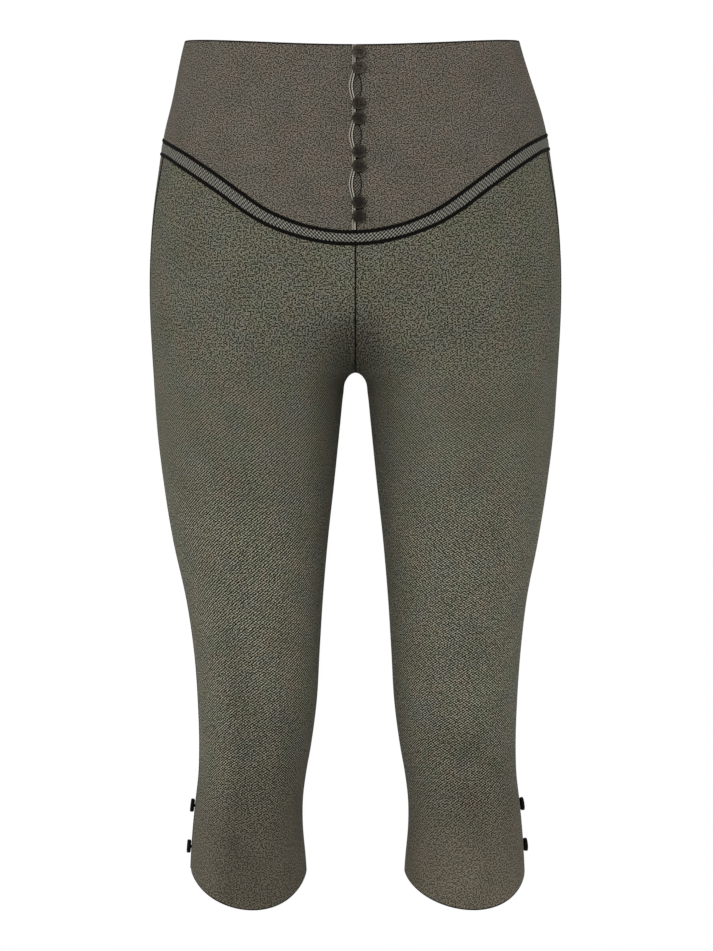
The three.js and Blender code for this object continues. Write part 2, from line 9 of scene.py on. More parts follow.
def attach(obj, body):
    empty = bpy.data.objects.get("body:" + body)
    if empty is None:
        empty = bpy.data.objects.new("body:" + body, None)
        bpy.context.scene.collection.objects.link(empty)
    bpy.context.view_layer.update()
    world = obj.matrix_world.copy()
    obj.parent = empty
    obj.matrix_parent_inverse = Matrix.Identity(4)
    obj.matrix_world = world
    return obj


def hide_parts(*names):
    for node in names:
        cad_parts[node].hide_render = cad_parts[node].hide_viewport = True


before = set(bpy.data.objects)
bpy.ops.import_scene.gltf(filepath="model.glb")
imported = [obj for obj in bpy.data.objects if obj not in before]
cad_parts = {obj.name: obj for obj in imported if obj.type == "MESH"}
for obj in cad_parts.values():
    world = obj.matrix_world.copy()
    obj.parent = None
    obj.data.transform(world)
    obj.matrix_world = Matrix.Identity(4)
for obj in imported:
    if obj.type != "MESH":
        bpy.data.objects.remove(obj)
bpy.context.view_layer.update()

# Lengths are in millimetres up to the meshes, which are in metres.
MM = 0.001
RIGHT, LEFT = -1, 1  # the wearer's sides, as the sign of X
WORDS = {RIGHT: "right", LEFT: "left"}

# ---- The cloth's form, as the CAD part has it ----
CLOTH = 1.2  # thickness of the cloth's wall
WAIST_DIP, WAIST_DIP_POWER = 15.8, 1.2  # how the waist edge sinks to the centre front
LEGS_LEVEL, CROTCH, HEM_START = -205.0, -282.0, -676.0
HEM_CORNER = {"side": -705.5, "inseam": -708.0}  # levels of the hem at the seams
HEM_DROP = {"front": 26.0, "back": 20.0}
HEM_POWER = 1.6
HEM_TURN = {RIGHT: math.radians(-3), LEFT: math.radians(6)}

# level, out, centre, inner, front, back, power
FIGURE = np.array([
    [0, 142.4, 0, -142.4, -92, 90, 2.35],
    [-40, 152.7, 0, -152.7, -97, 95, 2.33],
    [-80, 163, 0, -163, -102, 101, 2.3],
    [-112, 168, 0, -168, -105, 107, 2.28],
    [-143, 172.3, 0, -172.3, -107, 113, 2.25],
    [-175, 175, 0, -175, -107.5, 120, 2.22],
    [-200, 175.7, 9, -150, -107, 123, 2.2],
    [-220, 175.5, 27, -105, -106, 123.6, 2.18],
    [-240, 174.8, 50, -55, -104, 122, 2.16],
    [-255, 174, 67, -22, -102.5, 119.5, 2.14],
    [-268, 173.2, 79, -3.2, -101, 116.3, 2.12],
    [-275, 172.8, 84.2, 4.6, -100, 114.4, 2.11],
    [-282, 172.3, 88, 10, -99, 112.3, 2.1],
    [-289, 171.9, 90.5, 13.1, -98.2, 110.2, 2.1],
    [-300, 171.2, 92.2, 14.4, -96.8, 106.8, 2.1],
    [-323, 169.6, 93, 16.2, -94.5, 99.3, 2.1],
    [-374, 163.4, 92, 20.5, -90, 85, 2.1],
    [-425, 155, 90.3, 25.5, -86, 74, 2.1],
    [-476, 144.2, 87.3, 29.5, -82, 63, 2.1],
    [-519, 138.4, 85.6, 32, -79, 56, 2.1],
    [-562, 135.2, 85.2, 34.4, -76.5, 51, 2.1],
    [-600, 134.1, 86.8, 39.2, -73, 49, 2.1],
    [-622, 134.8, 89.2, 43, -70, 51, 2.1],
    [-647, 137.7, 91.8, 45.9, -67, 56, 2.1],
    [-664, 139.6, 92.9, 46.1, -64.5, 60, 2.1],
    [-700, 142.3, 92.9, 43.4, -60, 66, 2.1],
    [-742, 143.5, 92.4, 41.2, -56, 69, 2.1],
])
LEG_BLEND = 10.0  # rounds the fork where the legs part
JOINED_ABOVE = -176.0  # over this level both sides are one section
WAIST_LEAN, LEAN_FROM = 2.9, -65.0  # the photo's waist leans to the wearer's right
CALF_WIDER, CALF_RANGE = 1.9, (-400.0, -540.0)  # and its left calf is the wider one

# share of the way round (0 centre front, 1 side, 2 centre back), upper, lower
BAND = np.array([
    [0, -171.3, -180.9], [0.08, -170, -179.8], [0.16, -166.2, -176.1],
    [0.24, -159.7, -170.3], [0.32, -150.6, -162.3], [0.4, -138.5, -151.3],
    [0.5, -123.1, -135.6], [0.6, -109.5, -121.9], [0.7, -98.2, -110.2],
    [0.8, -90.2, -101.0], [0.9, -84.8, -96.0], [1, -81.2, -93.4],
    [1.5, -88.5, -101.0], [2, -105.0, -117.5],
])
# the photo's band lies a little turned and tilted
BAND_TURN, BAND_TILT, TILT_SHARES = 0.015, 2.1, (0.35, 0.8)
BAND_CORD = 1.4  # half width of the band's cords
SIDE_CORD = 0.75  # half width of a side seam's cord
TUCK, BAND_TUCK = 0.5, 0.6  # how far the cloth beside the band, and the band, reach under a cord

CLOSURE = 1.1  # the closure's line lies this far to the wearer's left of the middle
CLOSURE_CLEAR = 0.1  # and each yoke edge this far from the line
BUTTON_LEVELS = [-23.0, -36.4, -66.0, -78.2, -105.9, -117.6, -147.3, -158.9]
BUTTON_OFFSET = 2.9
BOW_POWER, BOWS = 1.6, {RIGHT: 2.7, LEFT: 3.5}  # how far the edges draw back in the gaps
LOOP_CORDS = {"inner": (-0.2, 2.6), "outer": (-2.0, 2.9)}  # offset, bow
LOOP_RADIUS, LOOP_LIFT = 0.55, 0.25
CUFF_LEVELS, CUFF_OFFSET, CUFF_TURN = (-651.0, -686.5), 3.2, 0.03
# the side seam's share of the way round at the band and at the legs' level, and the level
# where it reaches the side
SEAM_TOP, SEAM_LEGS, SEAM_SETTLED, SEAM_CURVE = 0.86, 0.935, -330.0, 1.5
CROTCH_GATHER = 4  # power by which a panel's extra width gathers at its centre
SIDE_PLACE = 240.0  # where the side, share 1, lies in the weave's own coordinates

# How finely the form is measured
ARC_STEPS = 320
LEVEL_STEP, LOWEST = 0.5, -745
PROBE, SHARE_PROBE = 0.05, 0.004  # steps for slopes, in mm and as a share of the way round
INSIDE = 0.001  # keeps an index short of a table's end
LINE_ROUNDS = 14


def curve_through(table, column, level_ends=False):
    order = np.argsort(table[:, 0])
    at, value = table[order, 0], table[order, column]
    span = np.diff(at)
    rise = np.diff(value) / span
    slope = np.zeros_like(value)
    slope[1:-1] = (span[1:] * rise[:-1] + span[:-1] * rise[1:]) / (span[:-1] + span[1:])
    if not level_ends:
        slope[0], slope[-1] = rise[0], rise[-1]

    def curve(x):
        x = np.clip(x, at[0], at[-1])
        i = np.clip(np.searchsorted(at, x, side="right") - 1, 0, len(at) - 2)
        t = (x - at[i]) / span[i]
        t2, t3 = t * t, t * t * t
        return ((2 * t3 - 3 * t2 + 1) * value[i] + (t3 - 2 * t2 + t) * span[i] * slope[i]
                + (3 * t2 - 2 * t3) * value[i + 1] + (t3 - t2) * span[i] * slope[i + 1])

    return curve


def smooth_step(start, end, x):
    t = np.clip((x - start) / (end - start), 0, 1)
    return t * t * (3 - 2 * t)


OUT, CENTRE, INNER, FRONT, BACK, POWER = (curve_through(FIGURE, k) for k in range(1, 7))
BAND_LINE = {"upper": curve_through(BAND, 1, True), "lower": curve_through(BAND, 2, True)}


def section(level, side):
    out = np.hypot(OUT(level) + CALF_WIDER * side * smooth_step(*CALF_RANGE, level), LEG_BLEND)
    centre = CENTRE(level)
    inner = np.where(level > JOINED_ABOVE, -out, INNER(level))
    front, back = FRONT(level), BACK(level)
    return centre, out - centre, centre - inner, (front + back) / 2, (back - front) / 2, POWER(level)


def section_point(cut, angle):
    centre, out_reach, in_reach, middle, depth, power = cut
    cos, sin = np.cos(angle), np.sin(angle)
    reach = np.where(cos > 0, in_reach, out_reach)
    wide = centre - reach * np.sign(cos) * np.abs(cos) ** (2 / power)
    x = np.sqrt(np.maximum(wide * wide - LEG_BLEND ** 2, 0))
    return x, middle - depth * np.sign(sin) * np.abs(sin) ** (2 / power)


class Half:
    """One side's sections, measured at every half millimetre of height."""

    def __init__(self, side):
        self.side = side
        self.levels = np.arange(LOWEST, LEVEL_STEP, LEVEL_STEP)
        cut = [part[:, None] for part in section(self.levels, side)]
        inward = (cut[0] - LEG_BLEND)[:, 0]
        joined = -((np.maximum(-inward, 0) / cut[1][:, 0]) ** (cut[5][:, 0] / 2))
        apart = np.minimum(1, np.maximum(inward, 0) / cut[2][:, 0]) ** (cut[5][:, 0] / 2)
        start = np.arccos(np.where(inward >= 0, apart, joined))[:, None]
        along = (1 - np.cos(np.pi * np.arange(ARC_STEPS + 1) / ARC_STEPS)) / 2
        angle = start + 2 * (np.pi - start) * along
        x, y = section_point(cut, angle)
        step = np.hypot(np.diff(x, axis=1), np.diff(y, axis=1))
        length = np.concatenate([np.zeros((len(step), 1)), np.cumsum(step, axis=1)], axis=1)
        self.whole_table = length[:, -1]
        self.side_table = length[:, ARC_STEPS // 2]
        even = np.linspace(0, 1, 2 * ARC_STEPS + 1)
        self.angles = np.array([np.interp(even * l[-1], l, a) for l, a in zip(length, angle)])

    def whole(self, level):
        return np.interp(level, self.levels, self.whole_table)

    def to_side(self, level):
        return np.interp(level, self.levels, self.side_table)

    def point(self, level, along):
        level, along = np.broadcast_arrays(np.asarray(level, float), np.asarray(along, float))
        row = np.clip((level - self.levels[0]) / LEVEL_STEP, 0, len(self.levels) - 1 - INSIDE)
        column = np.clip(np.abs(along) / self.whole(level), 0, 1) * 2 * ARC_STEPS
        column = np.minimum(column, 2 * ARC_STEPS - INSIDE)
        r, c = row.astype(int), column.astype(int)
        fr, fc = row - r, column - c
        a = self.angles
        angle = ((a[r, c] * (1 - fc) + a[r, c + 1] * fc) * (1 - fr)
                 + (a[r + 1, c] * (1 - fc) + a[r + 1, c + 1] * fc) * fr)
        x, y = section_point(section(level, self.side), angle)
        return np.stack([x * self.side * np.where(along < 0, -1, 1), y, level], axis=-1)

    def length_of(self, level, share):
        to_side, whole = self.to_side(level), self.whole(level)
        return np.where(share <= 1, share * to_side, to_side + (share - 1) * (whole - to_side))

    def share_of(self, level, along):
        to_side, whole = self.to_side(level), self.whole(level)
        return np.where(along <= to_side, along / to_side, 1 + (along - to_side) / (whole - to_side))


HALF = {side: Half(side) for side in (RIGHT, LEFT)}


def outside(point):
    """Below 1 inside the figure and above 1 outside it."""
    x, y, level = point[..., 0], point[..., 1], point[..., 2]
    side = np.where(x < 0, RIGHT, LEFT)
    centre, out_reach, in_reach, middle, depth, power = section(level, side)
    wide = np.hypot(x, LEG_BLEND) - centre
    reach = np.where(wide > 0, out_reach, in_reach)
    return np.abs(wide / reach) ** power + np.abs((y - middle) / depth) ** power


def unit(vectors):
    return vectors / np.linalg.norm(vectors, axis=-1, keepdims=True)


def on_cloth(side, level, along):
    """Points of the cloth and the directions out of it there."""
    point = HALF[side].point(level, along)
    slopes = [outside(point + h) - outside(point - h) for h in PROBE * np.eye(3)]
    lean = WAIST_LEAN * smooth_step(LEAN_FROM, 0, point[..., 2])
    point[..., 0] -= lean * (point[..., 0] / OUT(0)) ** 2
    return point, unit(np.stack(slopes, axis=-1))


def waist_level(share):
    cos = np.cos(np.minimum(share, 1) * np.pi / 2)
    return -WAIST_DIP * np.maximum(cos, 0) ** WAIST_DIP_POWER


def band_level(line, share, side, offset=0.0):
    def turned(s):
        tilt = smooth_step(*TILT_SHARES, np.abs(s)) * (1 - smooth_step(1, 2, np.abs(s)))
        signed = s + side * BAND_TURN * (1 - np.minimum(np.abs(s), 1) ** 4)
        return BAND_LINE[line](np.abs(signed)) + side * BAND_TILT * tilt

    level = turned(share)
    rise = turned(share + SHARE_PROBE) - turned(share - SHARE_PROBE)
    slope = rise / (2 * SHARE_PROBE * HALF[side].to_side(level))
    return level + offset * np.hypot(1, slope)


def on_line(level_at, side, length_at):
    """Levels of the points of a line, whose level at a share and length at a level are known."""
    level = level_at(0.5)
    for _ in range(LINE_ROUNDS):
        level = level_at(HALF[side].share_of(level, np.abs(length_at(level))))
    return level


def cloth_rows(side, depths, level_at, length_at):
    """Points, directions and cloth coordinates, one row at each depth between two lines."""
    rows = []
    for depth in depths:
        level = on_line(lambda share: level_at(share, depth), side, length_at)
        along = length_at(level)
        point, normal = on_cloth(side, level, along)
        rows.append((point, normal, np.stack([side * along, level, np.zeros_like(level)], axis=-1)))
    return [np.array(part) for part in zip(*rows)]


def run_along(point):
    """Lengths along a row of points, from the first."""
    return np.concatenate([[0], np.cumsum(np.linalg.norm(np.diff(point, axis=0), axis=1))])


# ---- Meshes ----
CLOTH_ANGLE, CORD_ANGLE, BUTTON_ANGLE = 50, 60, 30  # degrees from which an edge is sharp
MIDDLE_SEAM = 0.5  # an edge this close to the middle plane is a centre seam


def new_mesh(name, points, faces, smooth_angle):
    mesh = bpy.data.meshes.new(name)
    mesh.from_pydata((points * MM).tolist(), [], faces)
    mesh.polygons.foreach_set("use_smooth", [True] * len(mesh.polygons))
    mesh.set_sharp_from_angle(angle=math.radians(smooth_angle))
    mesh.update()
    piece = bpy.data.objects.new(name, mesh)
    bpy.context.scene.collection.objects.link(piece)
    return piece


def facing_out(points, faces):
    a, b, c = (points[[face[k] for face in faces]] for k in (0, 1, 2))
    if np.einsum("ij,ij->i", a, np.cross(b, c)).sum() < 0:
        return [face[::-1] for face in faces]
    return faces


def mark(piece, coords, tone):
    """Lays on a mesh what its material reads: cloth coordinates and a change of tone, which carries
    painted shade and painted light.
    """
    for name, kind, field, values in (("cloth", "FLOAT_VECTOR", "vector", coords),
                                      ("tone", "FLOAT", "value", tone)):
        attribute = piece.data.attributes.new(name, kind, "POINT")
        attribute.data.foreach_set(field, np.asarray(values, dtype=np.float32).ravel())


def cloth_wall(name, point, normal, lift, roll, coords, tone):
    """A cloth shell over a grid, its whole wall lifted and its outer face rolled in at the edges."""
    rows, columns = lift.shape
    outer = point + normal * (lift - roll)[..., None]
    inner = point + normal * (lift - CLOTH)[..., None]
    # a centre seam's edge is mitred on the middle plane, so that two panels close the seam
    for column in (0, -1):
        middle = np.abs(point[:, column, 0]) < MIDDLE_SEAM
        outer[middle, column, 0] = inner[middle, column, 0] = 0
    points = np.concatenate([outer.reshape(-1, 3), inner.reshape(-1, 3)])
    index = np.arange(rows * columns).reshape(rows, columns)
    back = index + rows * columns
    quads = [
        (index[:-1, :-1], index[1:, :-1], index[1:, 1:], index[:-1, 1:]),
        (back[:-1, :-1], back[:-1, 1:], back[1:, 1:], back[1:, :-1]),
        (index[:-1, 0], back[:-1, 0], back[1:, 0], index[1:, 0]),
        (index[:-1, -1], index[1:, -1], back[1:, -1], back[:-1, -1]),
        (index[0, :-1], index[0, 1:], back[0, 1:], back[0, :-1]),
        (index[-1, :-1], back[-1, :-1], back[-1, 1:], index[-1, 1:]),
    ]
    faces = np.concatenate([np.stack([k.ravel() for k in quad], axis=1) for quad in quads])
    faces = facing_out(points, faces.tolist())
    piece = new_mesh(name, points, faces, CLOTH_ANGLE)
    mark(piece, [coords] * 2, [tone] * 2)
    return piece


def tube(name, point, normal, profile, ring):
    """A cord along points of the cloth; the profile's rows are [aside, out], one set a point."""
    count, sides = profile.shape[0], profile.shape[1]
    if ring:
        way = np.roll(point, -1, axis=0) - np.roll(point, 1, axis=0)
    else:
        way = np.gradient(point, axis=0)
    across = unit(np.cross(way, normal))
    points = (point[:, None] + profile[..., 1:2] * normal[:, None]
              + profile[..., 0:1] * across[:, None])
    i = np.arange(count if ring else count - 1)[:, None]
    k = np.arange(sides)[None, :]
    j, m = (i + 1) % count, (k + 1) % sides
    faces = np.stack([i * sides + k, i * sides + m, j * sides + m, j * sides + k], axis=-1)
    faces = faces.reshape(-1, 4).tolist()
    if not ring:
        faces.append(list(range(sides))[::-1])
        faces.append([(count - 1) * sides + k for k in range(sides)])
    flat = points.reshape(-1, 3)
    piece = new_mesh(name, flat, facing_out(flat, faces), CORD_ANGLE)
    turn = np.arange(sides) / sides
    coords = np.stack([np.repeat(run_along(point)[:, None], sides, 1), np.tile(turn, (count, 1)),
                       np.zeros((count, sides))], axis=-1)
    mark(piece, coords, np.zeros((count, sides)))
    return piece


# ---- Creases and shading laid on the cloth ----
# Panel: list of (path of (mm from the side seam, level), lift, half width, tone). The tone is painted
# shade: it darkens the creases' troughs and soft patches over the knees and shins, where shade falls.
# Where it is above 0 it is painted light, on a ridge or a patch.
CREASES = {
    ("front", RIGHT): [
        ([(104, -585), (96, -640), (92, -715)], 0.0, 40, -0.24),
        ([(70, -495), (73, -600), (70, -722)], -1.3, 9, -0.10),
        ([(96, -500), (99, -610), (98, -700)], 0.7, 14, 0.05),
        ([(88, -300), (96, -340), (118, -372)], -0.5, 9, -0.05),
        ([(120, -296), (128, -318), (150, -330)], -0.5, 8, -0.05),
    ],
    ("front", LEFT): [
        ([(34, -612), (72, -622), (108, -606)], 0.0, 36, -0.15),
        ([(60, -712), (88, -700), (112, -712)], 0.0, 30, 0.1),
        ([(87, -636), (80, -680), (75, -722)], -1.1, 8, -0.06),
        ([(112, -575), (104, -592), (92, -600)], -0.9, 8, -0.09),
        ([(80, -592), (72, -607), (60, -618)], -0.9, 8, -0.09),
        ([(92, -300), (102, -342), (124, -376)], -0.5, 9, -0.05),
        ([(124, -294), (133, -315), (152, -326)], -0.5, 8, -0.05),
    ],
    ("back", RIGHT): [
        ([(52, -322), (96, -338), (140, -322)], -1.6, 9, -0.06),
        ([(70, -352), (110, -362), (146, -348)], -0.9, 9, -0.03),
        ([(46, -500), (78, -508), (112, -498)], -1.1, 7, -0.05),
        ([(52, -522), (84, -529), (108, -520)], -0.9, 7, -0.04),
        ([(64, -478), (90, -484), (116, -476)], -0.6, 7, -0.03),
        ([(78, -560), (74, -640), (80, -700)], -0.9, 12, -0.04),
    ],
    ("back", LEFT): [
        ([(48, -326), (92, -341), (138, -326)], -1.5, 9, -0.06),
        ([(64, -360), (104, -368), (140, -356)], -0.8, 9, -0.03),
        ([(50, -506), (80, -513), (114, -503)], -1.0, 7, -0.05),
        ([(46, -530), (82, -537), (104, -529)], -0.9, 7, -0.04),
        ([(60, -484), (88, -489), (112, -483)], -0.5, 7, -0.03),
        ([(82, -572), (80, -650), (74, -708)], -0.8, 12, -0.04),
    ],
}
CREASE_FADE = 14.0  # creases die away this close to a seam
HEM_FADE, HEM_LEFT = 3.0, 0.3  # and this close to the hem, where a share of them is left
CROTCH_SHADE = {"level": -268.0, "half_height": 34.0, "half_width": 30.0, "tone": -0.34}
# How deep and from how far an edge rolls in
ROLLS = {"side": (0.75, 1.8), "centre": (0.5, 1.5), "tucked": (0.8, 1.6), "free": (0.35, 0.6),
         "closure": (0.5, 1.2), "joint": (0.4, 1.4), "band": (0.5, 1.4)}


def path_distance(x, y, path):
    near = np.full(np.shape(x), 1e9)
    for (ax, ay), (bx, by) in zip(path[:-1], path[1:]):
        run = (bx - ax) ** 2 + (by - ay) ** 2
        t = np.clip(((x - ax) * (bx - ax) + (y - ay) * (by - ay)) / run, 0, 1)
        near = np.minimum(near, np.hypot(x - ax - t * (bx - ax), y - ay - t * (by - ay)))
    return near


def creased(key, aside, level):
    lift, tone = np.zeros_like(aside), np.zeros_like(aside)
    for path, depth, width, shade in CREASES[key]:
        fall = np.exp(-((path_distance(aside, level, path) / width) ** 2))
        lift += depth * fall
        tone += shade * fall
    return lift, tone


def rolled(**distances):
    """How far the outer face rolls in, by its distances from its edges."""
    falls = []
    for edge, distance in distances.items():
        depth, reach = ROLLS[edge]
        falls.append(depth * np.clip(1 - distance / reach, 0, 1) ** 2)
    return np.maximum.reduce(falls)


# ---- Grids ----
EDGE = [0, 0.2, 0.5, 0.9, 1.4, 2.1, 3.2]  # the places next to an edge, in mm from it
GRID_STEP, BAND_STEP = 3.2, 1.6
WIDTHS = {"leg": 225, "yoke_front": 240, "yoke_back": 250, "band_front": 240, "band_back": 245}


def spread(width, step):
    """Places from 0 to 1 across a width, close together at both edges."""
    middle = np.linspace(EDGE[-1] + step, width - EDGE[-1] - step,
                         int((width - 2 * EDGE[-1]) / step))
    return np.concatenate([EDGE, middle, width - np.array(EDGE[::-1])]) / width


# A leg's rows: shares of the way from the band to the legs' level, levels, shares of the hem
FALLS = np.concatenate([[0, 0.004, 0.01, 0.02, 0.032], np.linspace(0.06, 0.96, 20)])
LEVELS = np.concatenate([
    np.arange(LEGS_LEVEL, -260, -3), np.arange(-260, -276, -1.2), np.arange(-276.2, -288, -0.5),
    np.arange(-288, -300, -1.2), np.arange(-300, HEM_START, -3), [HEM_START],
])
HEMS = np.concatenate([np.linspace(0.08, 0.92, 11), [0.955, 0.975, 0.988, 0.996, 1.0]])
SEAM_EDGE, CENTRE_GAP = 0.55, 0.01  # how far a leg panel stops short of its seams
CENTRE_LINE = 0.45  # how much of the centre seam's dark edge is left out, which keeps it fine


def seam_share(side, level=None, fall=None):
    if fall is not None:
        return SEAM_TOP + (SEAM_LEGS - SEAM_TOP) * fall
    above = np.maximum(level - SEAM_SETTLED, 0) / (LEGS_LEVEL - SEAM_SETTLED)
    cuff = CUFF_TURN * smooth_step(*CALF_RANGE, level)
    return 1 - (1 - SEAM_LEGS) * above ** SEAM_CURVE + side * cuff


def panel_width(face, side, level, seam):
    to_seam = HALF[side].length_of(level, seam)
    return to_seam if face == "front" else HALF[side].whole(level) - to_seam


def leg_grid(face, side, parts, seam_edge):
    """A leg panel from its centre to its side seam, or seam_edge short of it: points, directions,
    cloth coordinates, distances from the side seam and widths."""
    half = HALF[side]
    rows = [("fall", f) for f in FALLS] + [("level", z) for z in LEVELS] + [("hem", h) for h in HEMS]
    inward = 1 - parts
    grid = []
    for kind, value in rows:
        share = (seam_share(side, fall=value) if kind == "fall"
                 else seam_share(side, value if kind == "level" else HEM_CORNER["side"]))

        def aside_at(level):
            width = panel_width(face, side, level, share)
            aside = width * inward
            if kind == "level" and value > CROTCH:
                top, low = (panel_width(face, side, z, seam_share(side, z))
                            for z in (LEGS_LEVEL, CROTCH))
                even = top + (low - top) * (LEGS_LEVEL - level) / (LEGS_LEVEL - CROTCH)
                aside = even * inward + (width - even) * inward ** CROTCH_GATHER
            return seam_edge + aside * (width - seam_edge) / width, width

        def length_at(level):
            aside, _ = aside_at(level)
            to_seam = half.length_of(level, share)
            return to_seam - aside if face == "front" else to_seam + aside

        if kind == "fall":
            def level_at(s):
                top = band_level("lower", s, side, -BAND_CORD + TUCK)
                return top + (LEGS_LEVEL - top) * value

            level = on_line(level_at, side, length_at)
        elif kind == "level":
            level = np.full_like(parts, value)
        else:
            turn = (parts - 0.5) * np.pi
            low = np.maximum(np.cos(turn - HEM_TURN[side] * np.cos(turn)), 0) ** HEM_POWER
            corner = HEM_CORNER["inseam"] + (HEM_CORNER["side"] - HEM_CORNER["inseam"]) * parts
            level = HEM_START + (corner - HEM_DROP[face] * low - HEM_START) * value
        along = np.clip(length_at(level), CENTRE_GAP, half.whole(level) - CENTRE_GAP)
        point, normal = on_cloth(side, level, along)
        aside, width = aside_at(level)
        across = side * (SIDE_PLACE + along - half.length_of(level, 1.0))
        coords = np.stack([across, level, np.zeros_like(level)], axis=-1)
        grid.append((point, normal, coords, aside, np.broadcast_to(width, parts.shape)))
    return [np.array(part) for part in zip(*grid)]


def leg_panel(face, side):
    grid = leg_grid(face, side, spread(WIDTHS["leg"], GRID_STEP), SEAM_EDGE)
    point, normal, coords, to_seam, width = grid
    level, to_centre = coords[..., 1], width - to_seam
    to_hem, to_top = level - level[-1], level[0] - level
    # the creases' tone is painted shade in their troughs and patches, and painted light on their
    # ridges
    lift, tone = creased((face, side), to_seam, level)
    fade = (np.clip(np.minimum(to_seam, to_centre) / CREASE_FADE, 0, 1)
            * np.clip(to_hem / HEM_FADE + HEM_LEFT, 0, 1))
    tone = tone * fade
    if face == "front":
        # soft shade where the two legs part
        across = to_centre / CROTCH_SHADE["half_width"]
        down = (level - CROTCH_SHADE["level"]) / CROTCH_SHADE["half_height"]
        tone += CROTCH_SHADE["tone"] * np.exp(-across ** 2 - down ** 2)
    roll = rolled(side=to_seam, centre=to_centre, tucked=to_top, free=to_hem)
    coords[..., 2] = np.minimum(to_hem, to_centre + CENTRE_LINE)
    name = "panel_" + face + "_" + WORDS[side]
    return cloth_wall(name, point, normal, lift * fade, roll, coords, tone)


def bow(level):
    """1 in the middle of a gap between two pairs of buttons, 0 where the closure is shut."""
    level = np.asarray(level, float)
    out = np.zeros_like(level)
    for top, bottom in zip(BUTTON_LEVELS[1::2], BUTTON_LEVELS[2::2]):
        t = np.clip((top - level) / (top - bottom), 0, 1)
        out = np.maximum(out, np.sin(np.pi * t) ** BOW_POWER)
    return out


def yoke_half(side, depths, parts, start, end_share):
    """The yoke from an edge at a length along the cloth, start, to a share of the way round."""
    def level_at(share, depth):
        top = waist_level(share)
        return top + (band_level("upper", share, side, BAND_CORD - TUCK) - top) * depth

    def length_at(level):
        from_edge = start(level)
        return from_edge + parts * (HALF[side].length_of(level, end_share) - from_edge)

    return cloth_rows(side, depths, level_at, length_at)


YOKE_DEPTHS = np.concatenate([
    [0, 0.002, 0.005, 0.01, 0.018], np.linspace(0.028, 0.97, 92), [0.982, 0.99, 0.996, 1],
])
YOKE_ENDS = {"front": 0.99995, "back": 1.0005}  # shares where the side joint's two edges lie
OPEN_BOW = 0.2  # from this bow on a gap shows
# The dark of a free edge reaches farther in by these, and stops short by these; along the closure's
# gaps this dark is painted shade, the shadow inside the gap
WAIST_DARK, GAP_SHADE = 0.3, 1.9
SHUT_PALE, GAP_PALE = 3.0, 0.2


def yoke_front(side):
    def start(level):
        return side * CLOSURE + CLOSURE_CLEAR + BOWS[side] * bow(level)

    parts = spread(WIDTHS["yoke_front"], GRID_STEP)
    point, normal, coords = yoke_half(side, YOKE_DEPTHS, parts, start, YOKE_ENDS["front"])
    along, level = np.abs(coords[..., 0]), coords[..., 1]
    to_edge = np.linalg.norm(point - point[:, :1], axis=-1)
    to_side = np.linalg.norm(point - point[:, -1:], axis=-1)
    to_top = waist_level(HALF[side].share_of(level, along)) - level
    to_band = level - level[-1]
    # the free edges show dark: a dark line along the waist, and painted shade on the closure's edges
    # along its gaps
    opened = smooth_step(0, OPEN_BOW, bow(level))
    if side == RIGHT:
        to_gap = to_edge - GAP_SHADE * opened
    else:
        to_gap = to_edge + GAP_PALE + SHUT_PALE * (1 - opened)
    coords[..., 2] = np.minimum(to_top - WAIST_DARK, to_gap)
    roll = rolled(closure=to_edge, joint=to_side, tucked=to_band, free=to_top)
    flat = np.zeros(roll.shape)
    return cloth_wall("cloth_yoke_" + WORDS[side], point, normal, flat, roll, coords, flat)


def both_halves(right, left):
    """A grid that runs from the right half to the left half, joined at the centre."""
    return [np.concatenate([r[:, ::-1], l[:, 1:]], axis=1) for r, l in zip(right, left)]


def yoke_back():
    parts = spread(WIDTHS["yoke_back"], GRID_STEP)
    point, normal, coords = both_halves(*(
        yoke_half(side, YOKE_DEPTHS[::2], parts, HALF[side].whole, YOKE_ENDS["back"])
        for side in (RIGHT, LEFT)))
    level = coords[..., 1]
    to_top = -level
    to_band = level - level[-1]
    to_side = np.minimum(np.linalg.norm(point - point[:, :1], axis=-1),
                         np.linalg.norm(point - point[:, -1:], axis=-1))
    coords[..., 2] = to_top
    roll = rolled(joint=to_side, tucked=to_band, free=to_top)
    flat = np.zeros(roll.shape)
    return cloth_wall("cloth_yoke_back", point, normal, flat, roll, coords, flat)


BAND_ROWS, BAND_CROWN = 9, 0.25
BAND_SHARES = {"front": spread(WIDTHS["band_front"], BAND_STEP),
               "back": 2 - spread(WIDTHS["band_back"], BAND_STEP)}


def band_half(side, shares):
    def level_at(share, depth):
        top = band_level("upper", share, side, -BAND_CORD + BAND_TUCK)
        low = band_level("lower", share, side, BAND_CORD - BAND_TUCK)
        return top + (low - top) * depth

    def length_at(level):
        return HALF[side].length_of(level, shares)

    return cloth_rows(side, np.linspace(0, 1, BAND_ROWS), level_at, length_at)


def band_cloth(face):
    point, normal, _ = both_halves(*(band_half(side, BAND_SHARES[face]) for side in (RIGHT, LEFT)))
    deep = np.linalg.norm(point - point[:1], axis=-1)
    whole = deep[-1:]
    # along the band's own line from its centre, and across it from the upper cord
    run = run_along(point[BAND_ROWS // 2])
    centre = run[len(run) // 2]
    coords = np.stack([np.broadcast_to(run - centre, deep.shape), deep, whole - deep], axis=-1)
    lift = BAND_CROWN * np.sin(np.pi * deep / whole)
    roll = rolled(band=np.minimum(deep, whole - deep))
    flat = np.zeros(roll.shape)
    return cloth_wall("cloth_band_" + face, point, normal, lift, roll, coords, flat)


# ---- Cords ----
CORD_SUNK, CORD_ROOT, CORD_ROUND = 0.3, 1.0, 0.8
BAND_POINTS = 550  # on each side
SIDE_STEP = 1.1
# half width, height, facets, and the ripples of the stitches: height as a share, pitch, phase
BEADS = {"band": (BAND_CORD + 0.1, 0.75, 12, [(0.07, 3.1, 0.0), (0.05, 7.3, 1.1)]),
         "side": (SIDE_CORD, 0.5, 9, [(0.08, 3.3, 0.0)])}


